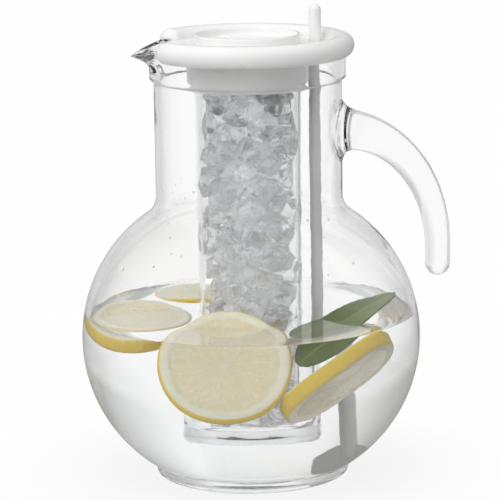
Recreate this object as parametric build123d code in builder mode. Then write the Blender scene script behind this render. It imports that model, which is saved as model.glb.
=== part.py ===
from build123d import *

import os
from math import cos, exp, hypot, radians, sin, sqrt

# Glass ball pitcher with a white lid, an ice tube hung in the lid, a stirrer and the drink it holds.
# Millimetres, +Z up. The origin is the centre of the foot's underside, the spout points to -X and
# the handle to +X.

# Glass jug
jug_height = 217.5
belly_diameter = 170.0
belly_height = 69.3
belly_arc_radius = 75.4
belly_wall = 2.8
foot_diameter = 97.0
foot_height = 5.5
foot_edge_radius = 1.5
floor_thickness = 9.0
floor_fillet = 18.0
neck_diameter = 93.2
neck_wall = 3.0
shoulder_fillet = 12.0
collar_lip = 2.0
collar_height = 17.7
collar_fillet = 0.8
rim_fillet = 1.2

# Pouring spout
spout_length = 11.0
spout_half_angle = 30.0
spout_root_depth = 14.7
spout_tip_half_width = 2.2
spout_tip_drop = 6.3
spout_tip_depth = 1.9
spout_lip_height = 1.5
spout_tip_lip_height = 0.4
spout_wall = 2.6
spout_tip_wall = 0.9
spout_overshoot = 8.0

# Glass handle, a hook that is open at the bottom
handle_below_collar = 26.3
handle_stand_off = 0.9
handle_span = 46.6
handle_drop = 58.5
handle_tail = 9.5
handle_root_half_height = 10.2
handle_root_half_width = 11.6
handle_tip_radius = 6.3
handle_flare = 6.0
handle_flare_length = 4.5
handle_taper_power = 1.5
handle_lead = 8.0
handle_steps = 12
handle_step_power = 1.6

# Lid
lid_bead_overhang = 4.4
lid_bead_height = 10.9
lid_rim_cover = 4.1
lid_floor_drop = 1.0
lid_floor_thickness = 2.5
lid_skirt_drop = 3.0
lid_skirt_wall = 2.0
lid_skirt_clearance = 0.4
lid_collar_clearance = 0.6
lid_notch_half_angle = 29.0
fill_hole_diameter = 48.0
socket_diameter = 60.6
socket_depth = 17.5
socket_chamfer = 2.4
socket_clearance = 0.3
groove_clearance = 0.3
groove_side_play = 2.0

# Filler cap pressed into the fill hole
cap_diameter = 52.6
cap_height = 5.8
cap_wall = 1.8
cap_floor_thickness = 2.0
cap_plug_depth = 5.0
cap_plug_clearance = 0.4
cap_plug_wall = 1.6
cap_edge_radius = 0.7

# Ice tube
tube_top_diameter = 53.0
tube_bottom_diameter = 51.0
tube_wall = 2.2
tube_bottom = 30.0
tube_base_thickness = 5.2
tube_bottom_fillet = 3.0
tube_top_gap = 0.3
lug_count = 3
lug_height = 3.0
lug_reach = 1.5
lug_arc = 16.0
lug_drop = 8.2
lug_twist = 45.0

# Stirrer
stirrer_diameter = 6.1
stirrer_stand = 13.4
stirrer_bearing = 19.0
stirrer_hole_clearance = 0.35
paddle_width = 27.0
paddle_height = 19.5
paddle_shoulder_height = 14.5
paddle_shoulder_half_width = 4.0
paddle_foot_width = 14.0
paddle_side_rise = 6.5
paddle_thickness = 3.2
paddle_corner_radius = 2.0
stirrer_floor_gap = 0.3

# Drink
water_level = 82.0
water_wall_gap = 0.3
sweep_clearance = 0.5

# Lemon slices: bearing round the axis, distance from the middle of the room between tube and wall,
# depth under the water line, the way the cut face looks, size beyond that room, and thickness
slice_rind_radius = 2.4
front_slice_bearing = -104.6
front_slice_shift = -6.5
front_slice_depth = 16.5
front_slice_facing = (0.0, -0.8, 0.6)
front_slice_oversize = 1.6
front_slice_thickness = 7.0
left_slice_bearing = 188.4
left_slice_shift = 0.4
left_slice_depth = 5.0
left_slice_facing = (0.12, -0.20, 0.97)
left_slice_oversize = -5.2
left_slice_thickness = 7.0
right_slice_bearing = -46.4
right_slice_shift = 0.7
right_slice_depth = 21.8
right_slice_facing = (0.545, -0.26, -0.80)
right_slice_oversize = 3.6
right_slice_thickness = 8.5
back_slice_bearing = 118.2
back_slice_shift = 0.0
back_slice_depth = 3.8
back_slice_facing = (-0.05, 0.1, 0.99)
back_slice_oversize = -5.0
back_slice_thickness = 6.5

# Leaf afloat beside the stirrer: bearing, distance from the wall and height over the water line
leaf_base_bearing = -67.6
leaf_base_inset = 33.5
leaf_base_rise = -14.0
leaf_tip_bearing = -8.8
leaf_tip_inset = 9.9
leaf_tip_rise = 13.5
leaf_width = 26.0
leaf_thickness = 1.2
leaf_bow_radius = 240.0
leaf_roll = 26.0
leaf_bow_depth = 15.0

# Ice in the tube
ice_layers = 13
ice_gap = 0.6
ice_wall_gap = 0.4
ice_chamfer = 1.6
ice_turn = 137.5
ice_slit_angle = 78.0
ice_centre_shift = 5.0

# Sizes that follow from the driving ones
belly_radius = belly_diameter / 2
belly_centre = belly_radius - belly_arc_radius
neck_radius = neck_diameter / 2
bore_radius = neck_radius - neck_wall
collar_radius = neck_radius + collar_lip
collar_bottom = jug_height - collar_height
foot_radius = foot_diameter / 2
lid_floor_top = jug_height - lid_floor_drop
lid_floor_bottom = lid_floor_top - lid_floor_thickness
lid_top = jug_height + lid_rim_cover
bead_radius = collar_radius + lid_bead_overhang
skirt_outer = bore_radius - lid_skirt_clearance
skirt_inner = skirt_outer - lid_skirt_wall
fill_hole_radius = fill_hole_diameter / 2
socket_radius = socket_diameter / 2
socket_bottom = lid_floor_bottom - socket_depth
tube_top = lid_floor_bottom - tube_top_gap
tube_top_radius = tube_top_diameter / 2
tube_bottom_radius = tube_bottom_diameter / 2
socket_bore_radius = tube_top_radius + socket_clearance
lug_radius = tube_top_radius + lug_reach
lug_top = lid_floor_bottom - lug_drop
lug_bottom = lug_top - lug_height
stirrer_radius = stirrer_diameter / 2
stirrer_offset = (socket_radius + skirt_inner) / 2
stirrer_x = stirrer_offset * cos(radians(stirrer_bearing))
stirrer_y = stirrer_offset * sin(radians(stirrer_bearing))
stirrer_top = lid_top + stirrer_stand
stirrer_bottom = floor_thickness + stirrer_floor_gap
tube_floor = tube_bottom + tube_base_thickness
spout_reach = collar_radius + spout_length
spout_root_reach = collar_radius * cos(radians(spout_half_angle))
spout_root_half_width = collar_radius * sin(radians(spout_half_angle))
spout_run = spout_reach - spout_root_reach
spout_root_bottom = jug_height - spout_root_depth
spout_root_shoulder = jug_height - spout_lip_height
spout_tip_top = jug_height - spout_tip_drop
spout_tip_bottom = spout_tip_top - spout_tip_depth
spout_tip_shoulder = spout_tip_top - spout_tip_lip_height
handle_start = neck_radius + handle_stand_off
handle_height = collar_bottom - handle_below_collar
handle_end = handle_height - handle_drop
slice_room = belly_radius - belly_wall - tube_top_radius
ALIGN_LOW = (Align.CENTER, Align.CENTER, Align.MIN)
ALIGN_HIGH = (Align.CENTER, Align.CENTER, Align.MAX)


def belly_radius_at(height, inset):
    """Radius of the belly's profile, moved in by inset, at a height."""
    return belly_centre + sqrt((belly_arc_radius - inset) ** 2 - (height - belly_height) ** 2)


def shoulder_height_at(radius, inset):
    """Height where the belly's upper half, moved in by inset, reaches a radius."""
    return belly_height + sqrt((belly_arc_radius - inset) ** 2 - (radius - belly_centre) ** 2)


def tube_radius_at(height):
    """Outer radius of the tapered ice tube at a height."""
    share = (height - tube_bottom) / (tube_top - tube_bottom)
    return tube_bottom_radius + share * (tube_top_radius - tube_bottom_radius)


def corner(sketch, radius, height):
    """The profile corner nearest to a radius and a height."""
    return sketch.vertices().sort_by_distance((radius, height, 0))[0]


def spout_section(reach, half_width, shoulder, bottom, top):
    """U-shaped face across the spout at a distance from the axis, with upright sides above shoulder."""
    with BuildSketch(Plane.YZ.offset(-reach)) as section:
        with BuildLine():
            ThreePointArc((-half_width, shoulder), (0, bottom), (half_width, shoulder))
            Polyline((half_width, shoulder), (half_width, top), (-half_width, top), (-half_width, shoulder))
        make_face()
    return section.sketch.face()


def channel_section(reach):
    """Face of the spout's open channel, which tapers in a straight line from root to tip."""
    share = (reach - spout_root_reach) / spout_run
    root_half_width = spout_root_half_width - spout_wall
    tip_half_width = spout_tip_half_width - spout_tip_wall
    root_bottom = spout_root_bottom + spout_wall
    tip_bottom = spout_tip_bottom + spout_tip_wall
    half_width = root_half_width + share * (tip_half_width - root_half_width)
    bottom = root_bottom + share * (tip_bottom - root_bottom)
    shoulder = spout_root_shoulder + share * (spout_tip_shoulder - spout_root_shoulder)
    return spout_section(reach, half_width, shoulder, bottom, lid_top)


# Jug body: one wall turned round the axis, with the spout drawn out of its collar
inner_shoulder = shoulder_height_at(bore_radius, belly_wall)
outer_shoulder = shoulder_height_at(neck_radius, 0)
foot_top_radius = belly_radius_at(foot_height, 0)
floor_radius = belly_radius_at(floor_thickness, belly_wall)

# Spout blank, which starts inside the collar's wall
with BuildPart() as spout_blank:
    spout_root = spout_section(
        spout_root_reach, spout_root_half_width, spout_root_shoulder, spout_root_bottom, jug_height
    )
    spout_tip = spout_section(
        spout_reach, spout_tip_half_width, spout_tip_shoulder, spout_tip_bottom, spout_tip_top
    )
    loft(sections=[spout_root, spout_tip], ruled=True)
    with Locations((0, 0, collar_bottom)):
        Cylinder(
            (bore_radius + collar_radius) / 2,
            collar_height + lid_rim_cover,
            align=ALIGN_LOW,
            mode=Mode.SUBTRACT,
        )

with BuildPart() as jug_body:
    with BuildSketch(Plane.XZ) as wall:
        with BuildLine():
            Polyline((0, floor_thickness), (0, 0), (foot_radius, 0), (foot_top_radius, foot_height))
            ThreePointArc(
                (foot_top_radius, foot_height), (belly_radius, belly_height), (neck_radius, outer_shoulder)
            )
            Polyline(
                (neck_radius, outer_shoulder),
                (neck_radius, collar_bottom),
                (collar_radius, collar_bottom),
                (collar_radius, jug_height),
                (bore_radius, jug_height),
                (bore_radius, inner_shoulder),
            )
            ThreePointArc(
                (bore_radius, inner_shoulder),
                (belly_radius - belly_wall, belly_height),
                (floor_radius, floor_thickness),
            )
            Line((floor_radius, floor_thickness), (0, floor_thickness))
        make_face()
        fillet(corner(wall, foot_radius, 0), foot_edge_radius)
        fillet(corner(wall, foot_top_radius, foot_height), foot_edge_radius)
        fillet(corner(wall, neck_radius, outer_shoulder), shoulder_fillet)
        fillet(corner(wall, bore_radius, inner_shoulder), shoulder_fillet + belly_wall)
        fillet(corner(wall, collar_radius, collar_bottom), collar_fillet)
        fillet(corner(wall, collar_radius, jug_height), rim_fillet)
        fillet(corner(wall, bore_radius, jug_height), rim_fillet)
        fillet(corner(wall, floor_radius, floor_thickness), floor_fillet)
    revolve(axis=Axis.Z)
    add(spout_blank.part)
    channel_start = channel_section(spout_root_reach - spout_overshoot)
    channel_end = channel_section(spout_reach + spout_wall)
    loft(sections=[channel_start, channel_end], ruled=True, mode=Mode.SUBTRACT)
jug_body.part.label = "jug_body"


# Handle: a tapering bar along a quarter of an ellipse, spread where it joins the neck
def handle_half_size(root, run_share, root_distance):
    """Half height or half width of the handle, from its size at the root and how far along it is."""
    taper = (root - handle_tip_radius) * (1 - run_share) ** handle_taper_power
    flare = handle_flare * exp(-((root_distance / handle_flare_length) ** 2))
    return handle_tip_radius + taper + flare


def handle_section(centre, direction, half_height, half_width):
    """Elliptical face square to the handle's direction."""
    with BuildSketch(Plane(origin=centre, x_dir=(0, 1, 0), z_dir=direction)) as section:
        Ellipse(half_width, half_height)
    return section.sketch.face()


def handle_sections_along():
    """Faces of the handle from inside the neck's wall to the end of the curve."""
    inside = handle_start - handle_lead
    faces = [
        handle_section(
            (inside, 0, handle_height),
            (1, 0, 0),
            handle_root_half_height + handle_flare,
            handle_root_half_width + handle_flare,
        )
    ]
    for step in range(handle_steps + 1):
        run_share = (step / handle_steps) ** handle_step_power
        angle = radians(90 * run_share)
        across = handle_span * sin(angle)
        down = handle_drop * (1 - cos(angle))
        distance = hypot(across, down)
        faces.append(
            handle_section(
                (handle_start + across, 0, handle_height - down),
                (handle_span * cos(angle), 0, -handle_drop * sin(angle)),
                handle_half_size(handle_root_half_height, run_share, distance),
                handle_half_size(handle_root_half_width, run_share, distance),
            )
        )
    return faces


with BuildPart() as handle:
    loft(sections=handle_sections_along())
    with Locations((handle_start + handle_span, 0, handle_end)):
        Cylinder(handle_tip_radius, handle_tail, align=ALIGN_HIGH)
    with Locations((handle_start + handle_span, 0, handle_end - handle_tail)):
        Sphere(handle_tip_radius)
    with Locations((0, 0, handle_end)):
        Cylinder(neck_radius, collar_bottom - handle_end, align=ALIGN_LOW, mode=Mode.SUBTRACT)
handle.part.label = "handle"

# Lid: rolled bead over the rim, sunk floor, plug skirt and the socket of the ice tube
bead_half = lid_bead_height / 2
bead_middle = lid_top - bead_half
bead_outer_centre = bead_radius - bead_half
channel_outer = collar_radius + lid_collar_clearance
skirt_bottom = lid_floor_bottom - lid_skirt_drop
bead_inner_radius = lid_top - lid_floor_top
bead_inner_centre = skirt_inner + bead_inner_radius
bead_end = bead_middle - sqrt(bead_half**2 - (channel_outer - bead_outer_centre) ** 2)
groove_radius = lug_radius + groove_clearance
groove_top = lug_top + groove_clearance
groove_bottom = lug_bottom - groove_clearance
slot_arc = lug_arc + groove_side_play


def ring_sector(inner_radius, outer_radius, bottom, top, start, arc):
    """Block of a ring, from a start angle, as a part of its own."""
    with BuildPart() as block:
        with BuildSketch(Plane.XZ):
            with Locations(((inner_radius + outer_radius) / 2, (bottom + top) / 2)):
                Rectangle(outer_radius - inner_radius, top - bottom)
        revolve(axis=Axis.Z, revolution_arc=arc)
    return block.part.rotate(Axis.Z, start)


with BuildPart() as lid:
    with BuildSketch(Plane.XZ) as lid_profile:
        with BuildLine():
            Polyline(
                (fill_hole_radius, lid_floor_bottom),
                (fill_hole_radius, lid_floor_top),
                (skirt_inner, lid_floor_top),
            )
            CenterArc((bead_inner_centre, lid_floor_top), bead_inner_radius, 180, -90)
            Line((bead_inner_centre, lid_top), (bead_outer_centre, lid_top))
            ThreePointArc(
                (bead_outer_centre, lid_top), (bead_radius, bead_middle), (channel_outer, bead_end)
            )
            Polyline(
                (channel_outer, bead_end),
                (channel_outer, jug_height),
                (skirt_outer, jug_height),
                (skirt_outer, skirt_bottom),
                (skirt_inner, skirt_bottom),
                (skirt_inner, lid_floor_bottom),
                (socket_radius, lid_floor_bottom),
                (socket_radius, socket_bottom + socket_chamfer),
                (socket_radius - socket_chamfer, socket_bottom),
                (socket_bore_radius, socket_bottom),
                (socket_bore_radius, lid_floor_bottom),
                (fill_hole_radius, lid_floor_bottom),
            )
        make_face()
    revolve(axis=Axis.Z)
    for lug in range(lug_count):
        lug_angle = lug * 360 / lug_count
        add(
            ring_sector(
                socket_bore_radius - socket_clearance,
                groove_radius,
                groove_bottom,
                groove_top,
                lug_angle - slot_arc / 2,
                lug_twist + slot_arc,
            ),
            mode=Mode.SUBTRACT,
        )
        add(
            ring_sector(
                socket_bore_radius - socket_clearance,
                groove_radius,
                socket_bottom - groove_clearance,
                groove_top,
                lug_angle + lug_twist - slot_arc / 2,
                slot_arc,
            ),
            mode=Mode.SUBTRACT,
        )
    with Locations((stirrer_x, stirrer_y, lid_floor_bottom)):
        Cylinder(
            stirrer_radius + stirrer_hole_clearance,
            3 * lid_floor_thickness,
            mode=Mode.SUBTRACT,
        )
    notch_start = 180 - lid_notch_half_angle
    for notch_inner, notch_bottom, notch_top in (
        (skirt_inner, lid_floor_top, lid_top + lid_rim_cover),
        (skirt_outer, skirt_bottom - lid_bead_height, lid_floor_top),
    ):
        notch = ring_sector(
            notch_inner,
            bead_radius + lid_bead_overhang,
            notch_bottom,
            notch_top,
            notch_start,
            2 * lid_notch_half_angle,
        )
        add(notch, mode=Mode.SUBTRACT)
lid.part.label = "lid"

# Filler cap: a shallow dish with a plug that fills the hole in the lid
cap_radius = cap_diameter / 2
cap_top = lid_floor_top + cap_height
cap_plug_radius = fill_hole_radius - cap_plug_clearance
cap_plug_bottom = lid_floor_top - cap_plug_depth
cap_dish_floor = lid_floor_top + cap_floor_thickness

with BuildPart() as filler_cap:
    with BuildSketch(Plane.XZ) as cap_profile:
        with BuildLine():
            Polyline(
                (0, lid_floor_top),
                (cap_plug_radius - cap_plug_wall, lid_floor_top),
                (cap_plug_radius - cap_plug_wall, cap_plug_bottom),
                (cap_plug_radius, cap_plug_bottom),
                (cap_plug_radius, lid_floor_top),
                (cap_radius, lid_floor_top),
                (cap_radius, cap_top),
                (cap_radius - cap_wall, cap_top),
                (cap_radius - cap_wall, cap_dish_floor),
                (0, cap_dish_floor),
                close=True,
            )
        make_face()
        fillet(corner(cap_profile, cap_radius, cap_top), cap_edge_radius)
        fillet(corner(cap_profile, cap_radius - cap_wall, cap_top), cap_edge_radius)
    revolve(axis=Axis.Z)
filler_cap.part.label = "filler_cap"

# Ice tube: a tapering beaker with a thick base and lugs that turn into the lid's groove
with BuildPart() as ice_tube:
    with BuildSketch(Plane.XZ) as tube_profile:
        with BuildLine():
            Polyline(
                (0, tube_bottom),
                (tube_bottom_radius, tube_bottom),
                (tube_top_radius, tube_top),
                (tube_top_radius - tube_wall, tube_top),
                (tube_bottom_radius - tube_wall, tube_floor),
                (0, tube_floor),
                close=True,
            )
        make_face()
        fillet(corner(tube_profile, tube_bottom_radius, tube_bottom), tube_bottom_fillet)
        fillet(corner(tube_profile, tube_bottom_radius - tube_wall, tube_floor), tube_bottom_fillet)
    revolve(axis=Axis.Z)
    for lug in range(lug_count):
        add(
            ring_sector(
                tube_top_radius - tube_wall / 2,
                lug_radius,
                lug_bottom,
                lug_top,
                lug * 360 / lug_count - lug_arc / 2,
                lug_arc,
            )
        )
ice_tube.part.label = "ice_tube"

# Stirrer: round rod with a spade-shaped paddle at its foot
paddle_top = stirrer_bottom + paddle_height
paddle_shoulder = stirrer_bottom + paddle_shoulder_height
paddle_side = stirrer_bottom + paddle_side_rise
paddle_back = stirrer_y + paddle_thickness / 2
paddle_plane = Plane((stirrer_x, paddle_back, 0), x_dir=(1, 0, 0), z_dir=(0, -1, 0))

with BuildPart() as stirrer:
    with BuildSketch(paddle_plane) as paddle_profile:
        with BuildLine():
            Polyline(
                (-paddle_foot_width / 2, stirrer_bottom),
                (paddle_foot_width / 2, stirrer_bottom),
                (paddle_width / 2, paddle_side),
                (paddle_width / 2, paddle_shoulder),
                (paddle_shoulder_half_width, paddle_top),
                (-paddle_shoulder_half_width, paddle_top),
                (-paddle_width / 2, paddle_shoulder),
                (-paddle_width / 2, paddle_side),
                close=True,
            )
        make_face()
        fillet(paddle_profile.vertices(), paddle_corner_radius)
    extrude(amount=paddle_thickness)
    with Locations((stirrer_x, stirrer_y, paddle_shoulder)):
        Cylinder(stirrer_radius, stirrer_top - stirrer_radius - paddle_shoulder, align=ALIGN_LOW)
    with Locations((stirrer_x, stirrer_y, stirrer_top - stirrer_radius)):
        Sphere(stirrer_radius)
stirrer.part.label = "stirrer"


def at_bearing(bearing, distance, height):
    """Point at a bearing round the axis, in degrees, a distance from it and a height."""
    return Vector(distance * cos(radians(bearing)), distance * sin(radians(bearing)), height)


def lemon_slice(name, bearing, shift, depth, facing, oversize, thickness):
    """Round slice with a rounded rind between the tube and the wall, its cut faces square to facing."""
    distance = tube_top_radius + slice_room / 2 + shift
    centre = at_bearing(bearing, distance, water_level - depth)
    with BuildPart(Plane(origin=centre, z_dir=facing)) as piece:
        Cylinder((slice_room + oversize) / 2, thickness)
        fillet(piece.edges().filter_by(GeomType.CIRCLE), slice_rind_radius)
    piece.part.label = name
    return piece.part


lemon_slices = [
    lemon_slice(
        "lemon_slice_front",
        front_slice_bearing,
        front_slice_shift,
        front_slice_depth,
        front_slice_facing,
        front_slice_oversize,
        front_slice_thickness,
    ),
    lemon_slice(
        "lemon_slice_left",
        left_slice_bearing,
        left_slice_shift,
        left_slice_depth,
        left_slice_facing,
        left_slice_oversize,
        left_slice_thickness,
    ),
    lemon_slice(
        "lemon_slice_right",
        right_slice_bearing,
        right_slice_shift,
        right_slice_depth,
        right_slice_facing,
        right_slice_oversize,
        right_slice_thickness,
    ),
    lemon_slice(
        "lemon_slice_back",
        back_slice_bearing,
        back_slice_shift,
        back_slice_depth,
        back_slice_facing,
        back_slice_oversize,
        back_slice_thickness,
    ),
]

# Leaf: a pointed oval cut from a bowed sheet
inner_belly_radius = belly_radius - belly_wall
leaf_base_distance = inner_belly_radius - leaf_base_inset
leaf_tip_distance = inner_belly_radius - leaf_tip_inset
leaf_base = at_bearing(leaf_base_bearing, leaf_base_distance, water_level + leaf_base_rise)
leaf_tip = at_bearing(leaf_tip_bearing, leaf_tip_distance, water_level + leaf_tip_rise)
leaf_run = leaf_tip - leaf_base
leaf_length = leaf_run.length
leaf_upright = leaf_run.cross(Vector(0, 0, 1)).cross(leaf_run)
leaf_normal = leaf_upright.rotate(Axis((0, 0, 0), leaf_run), leaf_roll)
leaf_plane = Plane(origin=leaf_base, x_dir=leaf_run, z_dir=leaf_normal)
leaf_side = Plane(origin=leaf_base, x_dir=leaf_run, z_dir=leaf_plane.y_dir * -1)

with BuildPart() as leaf:
    with BuildSketch(leaf_plane) as leaf_outline:
        with BuildLine():
            ThreePointArc((0, 0), (leaf_length / 2, leaf_width / 2), (leaf_length, 0))
            ThreePointArc((leaf_length, 0), (leaf_length / 2, -leaf_width / 2), (0, 0))
        make_face()
    extrude(amount=leaf_bow_depth, both=True)
    with BuildSketch(leaf_side.offset(-leaf_width)) as leaf_bow:
        with Locations((leaf_length / 2, -leaf_bow_radius)):
            Circle(leaf_bow_radius + leaf_thickness / 2)
            Circle(leaf_bow_radius - leaf_thickness / 2, mode=Mode.SUBTRACT)
    extrude(amount=2 * leaf_width, mode=Mode.INTERSECT)
leaf.part.label = "leaf"

# Ice: lumps split out of the tube's bore, layer by layer, each layer turned against the last
ice_bottom = tube_floor + ice_gap
ice_radius = tube_radius_at(ice_bottom) - tube_wall - ice_wall_gap
ice_layer_height = (socket_bottom - ice_bottom) / ice_layers

with BuildPart() as ice_lumps:
    for layer in range(ice_layers):
        turn = layer * ice_turn
        shift = (ice_centre_shift * cos(radians(2 * turn)), ice_centre_shift * sin(radians(2 * turn)))
        with BuildSketch(Plane.XY.offset(ice_bottom + layer * ice_layer_height)):
            Circle(ice_radius)
            with Locations(shift):
                Rectangle(4 * ice_radius, ice_gap, rotation=turn, mode=Mode.SUBTRACT)
                Rectangle(4 * ice_radius, ice_gap, rotation=turn + ice_slit_angle, mode=Mode.SUBTRACT)
        extrude(amount=ice_layer_height - ice_gap)
    chamfer(ice_lumps.edges(), ice_chamfer)
ice_lumps.part.label = "ice_lumps"

# Drink: the belly's inside up to the water line, clear of the tube, the stirrer and what floats in it
drink_inset = belly_wall + water_wall_gap
drink_floor = floor_thickness + water_wall_gap
drink_floor_radius = belly_radius_at(drink_floor, drink_inset)
drink_top_radius = belly_radius_at(water_level, drink_inset)
paddle_sweep = paddle_width / 2 + sweep_clearance

with BuildPart() as water:
    with BuildSketch(Plane.XZ) as drink_profile:
        with BuildLine():
            Polyline(
                (drink_top_radius, water_level),
                (0, water_level),
                (0, drink_floor),
                (drink_floor_radius, drink_floor),
            )
            ThreePointArc(
                (drink_floor_radius, drink_floor),
                (belly_radius - drink_inset, belly_height),
                (drink_top_radius, water_level),
            )
        make_face()
        fillet(corner(drink_profile, drink_floor_radius, drink_floor), floor_fillet)
    revolve(axis=Axis.Z)
    with Locations((0, 0, tube_bottom - sweep_clearance)):
        Cylinder(
            tube_radius_at(water_level) + sweep_clearance,
            water_level,
            align=ALIGN_LOW,
            mode=Mode.SUBTRACT,
        )
    with Locations((stirrer_x, stirrer_y, 0)):
        Cylinder(paddle_sweep, paddle_top + sweep_clearance, align=ALIGN_LOW, mode=Mode.SUBTRACT)
        Cylinder(stirrer_radius + sweep_clearance, stirrer_top, align=ALIGN_LOW, mode=Mode.SUBTRACT)
    for piece in [*lemon_slices, leaf.part]:
        add(piece, mode=Mode.SUBTRACT)
water.part.label = "water"

os.makedirs("parts", exist_ok=True)
finished = [
    jug_body.part,
    handle.part,
    lid.part,
    filler_cap.part,
    ice_tube.part,
    ice_lumps.part,
    stirrer.part,
    water.part,
    leaf.part,
    *lemon_slices,
]
for piece in finished:
    export_step(piece, f"parts/{piece.label}.step")
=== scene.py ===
"""Looks of a glass pitcher with a lid, an ice tube, a stirrer, water, lemon slices and a leaf."""
import math
import random

import bmesh
import bpy
from bpy.props import FloatProperty, FloatVectorProperty, IntProperty, PointerProperty
from bpy.types import NodeSocket, Operator, Panel, PropertyGroup
from mathutils import Matrix, Quaternion, Vector, noise


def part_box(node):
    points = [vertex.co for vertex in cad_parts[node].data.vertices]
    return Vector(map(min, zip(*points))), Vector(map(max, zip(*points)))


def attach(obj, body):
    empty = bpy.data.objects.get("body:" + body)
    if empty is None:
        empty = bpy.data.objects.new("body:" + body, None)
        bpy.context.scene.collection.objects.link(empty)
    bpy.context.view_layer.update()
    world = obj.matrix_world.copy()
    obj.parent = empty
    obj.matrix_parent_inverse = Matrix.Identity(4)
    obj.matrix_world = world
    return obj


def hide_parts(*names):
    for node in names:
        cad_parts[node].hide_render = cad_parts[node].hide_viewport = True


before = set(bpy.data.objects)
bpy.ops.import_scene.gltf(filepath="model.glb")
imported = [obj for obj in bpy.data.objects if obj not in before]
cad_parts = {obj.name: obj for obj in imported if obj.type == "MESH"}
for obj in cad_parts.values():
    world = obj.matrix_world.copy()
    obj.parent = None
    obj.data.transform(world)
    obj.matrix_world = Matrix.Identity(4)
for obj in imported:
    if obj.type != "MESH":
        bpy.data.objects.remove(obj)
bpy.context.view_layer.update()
JUG_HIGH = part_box("jug_body")[1]
LID_LOW, LID_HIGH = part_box("lid")
CAP_LOW, CAP_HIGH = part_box("filler_cap")
TUBE_LOW, TUBE_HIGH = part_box("ice_tube")
ICE_LOW, ICE_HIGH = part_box("ice_lumps")
STIRRER_LOW, STIRRER_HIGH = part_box("stirrer")
WATER_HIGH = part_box("water")[1]

bl_info = {
    "name": "Pitcher with ice tube",
    "version": (1, 0, 0),
    "blender": (4, 5, 0),
    "location": "View3D > Sidebar > Pitcher",
    "description": "Builds the looks of a glass pitcher with an ice tube round its packed frame",
    "category": "Object",
}

QUARTER = math.radians(90)
GOLDEN_ANGLE = math.radians(137.5)
GOLDEN_SHARE = 0.618034
WHITE = (1.0, 1.0, 1.0)


# Settings


def metres(name, description, default):
    """Setting for a length, or for several lengths at once."""
    if isinstance(default, float):
        return FloatProperty(name=name, description=description, default=default, unit="LENGTH")
    size = len(default)
    return FloatVectorProperty(
        name=name, description=description, default=default, size=size, unit="LENGTH"
    )


def degrees(name, description, default):
    """Setting for an angle, with its default in degrees."""
    turn = math.radians(default)
    return FloatProperty(name=name, description=description, default=turn, subtype="ANGLE")


def tint(name, description, default):
    """Setting for a colour."""
    return FloatVectorProperty(name=name, description=description, default=default, subtype="COLOR")


def plain(name, description, default, subtype="NONE"):
    """Setting for a number that is neither a length nor an angle."""
    return FloatProperty(name=name, description=description, default=default, subtype=subtype)


def count(name, description, default):
    """Setting for a number of things."""
    return IntProperty(name=name, description=description, default=default)


class JugSizes(PropertyGroup):
    """Sizes of the glass jug and its handle."""

    height: metres("Height", "Rim above the table", JUG_HIGH.z)
    belly_radius: metres("Belly radius", "Widest radius of the belly", JUG_HIGH.y)
    belly_height: metres("Belly height", "Height of the widest place", 0.0693)
    belly_arc: metres("Belly arc", "Radius of the arc of the belly's profile", 0.0754)
    wall: metres("Wall", "Wall of the belly", 0.0028)
    floor: metres("Floor", "Thickness of the floor", 0.009)
    floor_fillet: metres("Floor fillet", "Round between floor and wall", 0.018)
    foot_radius: metres("Foot radius", "Radius of the foot at the table", 0.0485)
    foot_height: metres("Foot height", "Height of the foot's side", 0.0055)
    foot_hollow: metres("Foot hollow", "Depth of the hollow under the foot", 0.0016)
    neck_radius: metres("Neck radius", "Outer radius of the neck", 0.0466)
    neck_wall: metres("Neck wall", "Wall of the neck", 0.003)
    shoulder: metres("Shoulder", "Round between neck and belly", 0.012)
    collar_radius: metres("Collar radius", "Outer radius of the collar", 0.0486)
    collar_height: metres("Collar height", "Height of the collar", 0.0177)
    rim_round: metres("Rim round", "Round of the rim", 0.0012)
    spout_length: metres("Spout length", "Reach of the spout past the collar", 0.0108)
    spout_half_angle: degrees(
        "Spout half angle", "Half of the angle that the spout takes of the rim", 30.0
    )
    spout_drop: metres("Spout drop", "Drop of the rim at the spout's tip", 0.0063)
    spout_thinning: metres("Spout thinning", "Wall lost at the spout's tip", 0.0031)
    handle_height: metres("Handle height", "Height of the handle's root", 0.1735)
    handle_span: metres("Handle span", "Reach of the handle's curve", 0.0472)
    handle_drop: metres("Handle drop", "Drop of the handle's curve", 0.0585)
    handle_tail: metres("Handle tail", "Straight end of the handle", 0.0095)
    handle_root: metres(
        "Handle root", "Half width and half height of the handle near the neck", (0.0116, 0.0102)
    )
    handle_tip: metres("Handle tip", "Radius of the handle's end", 0.0063)
    handle_flare: metres("Handle flare", "Spread of the handle on the neck", 0.005)


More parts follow.
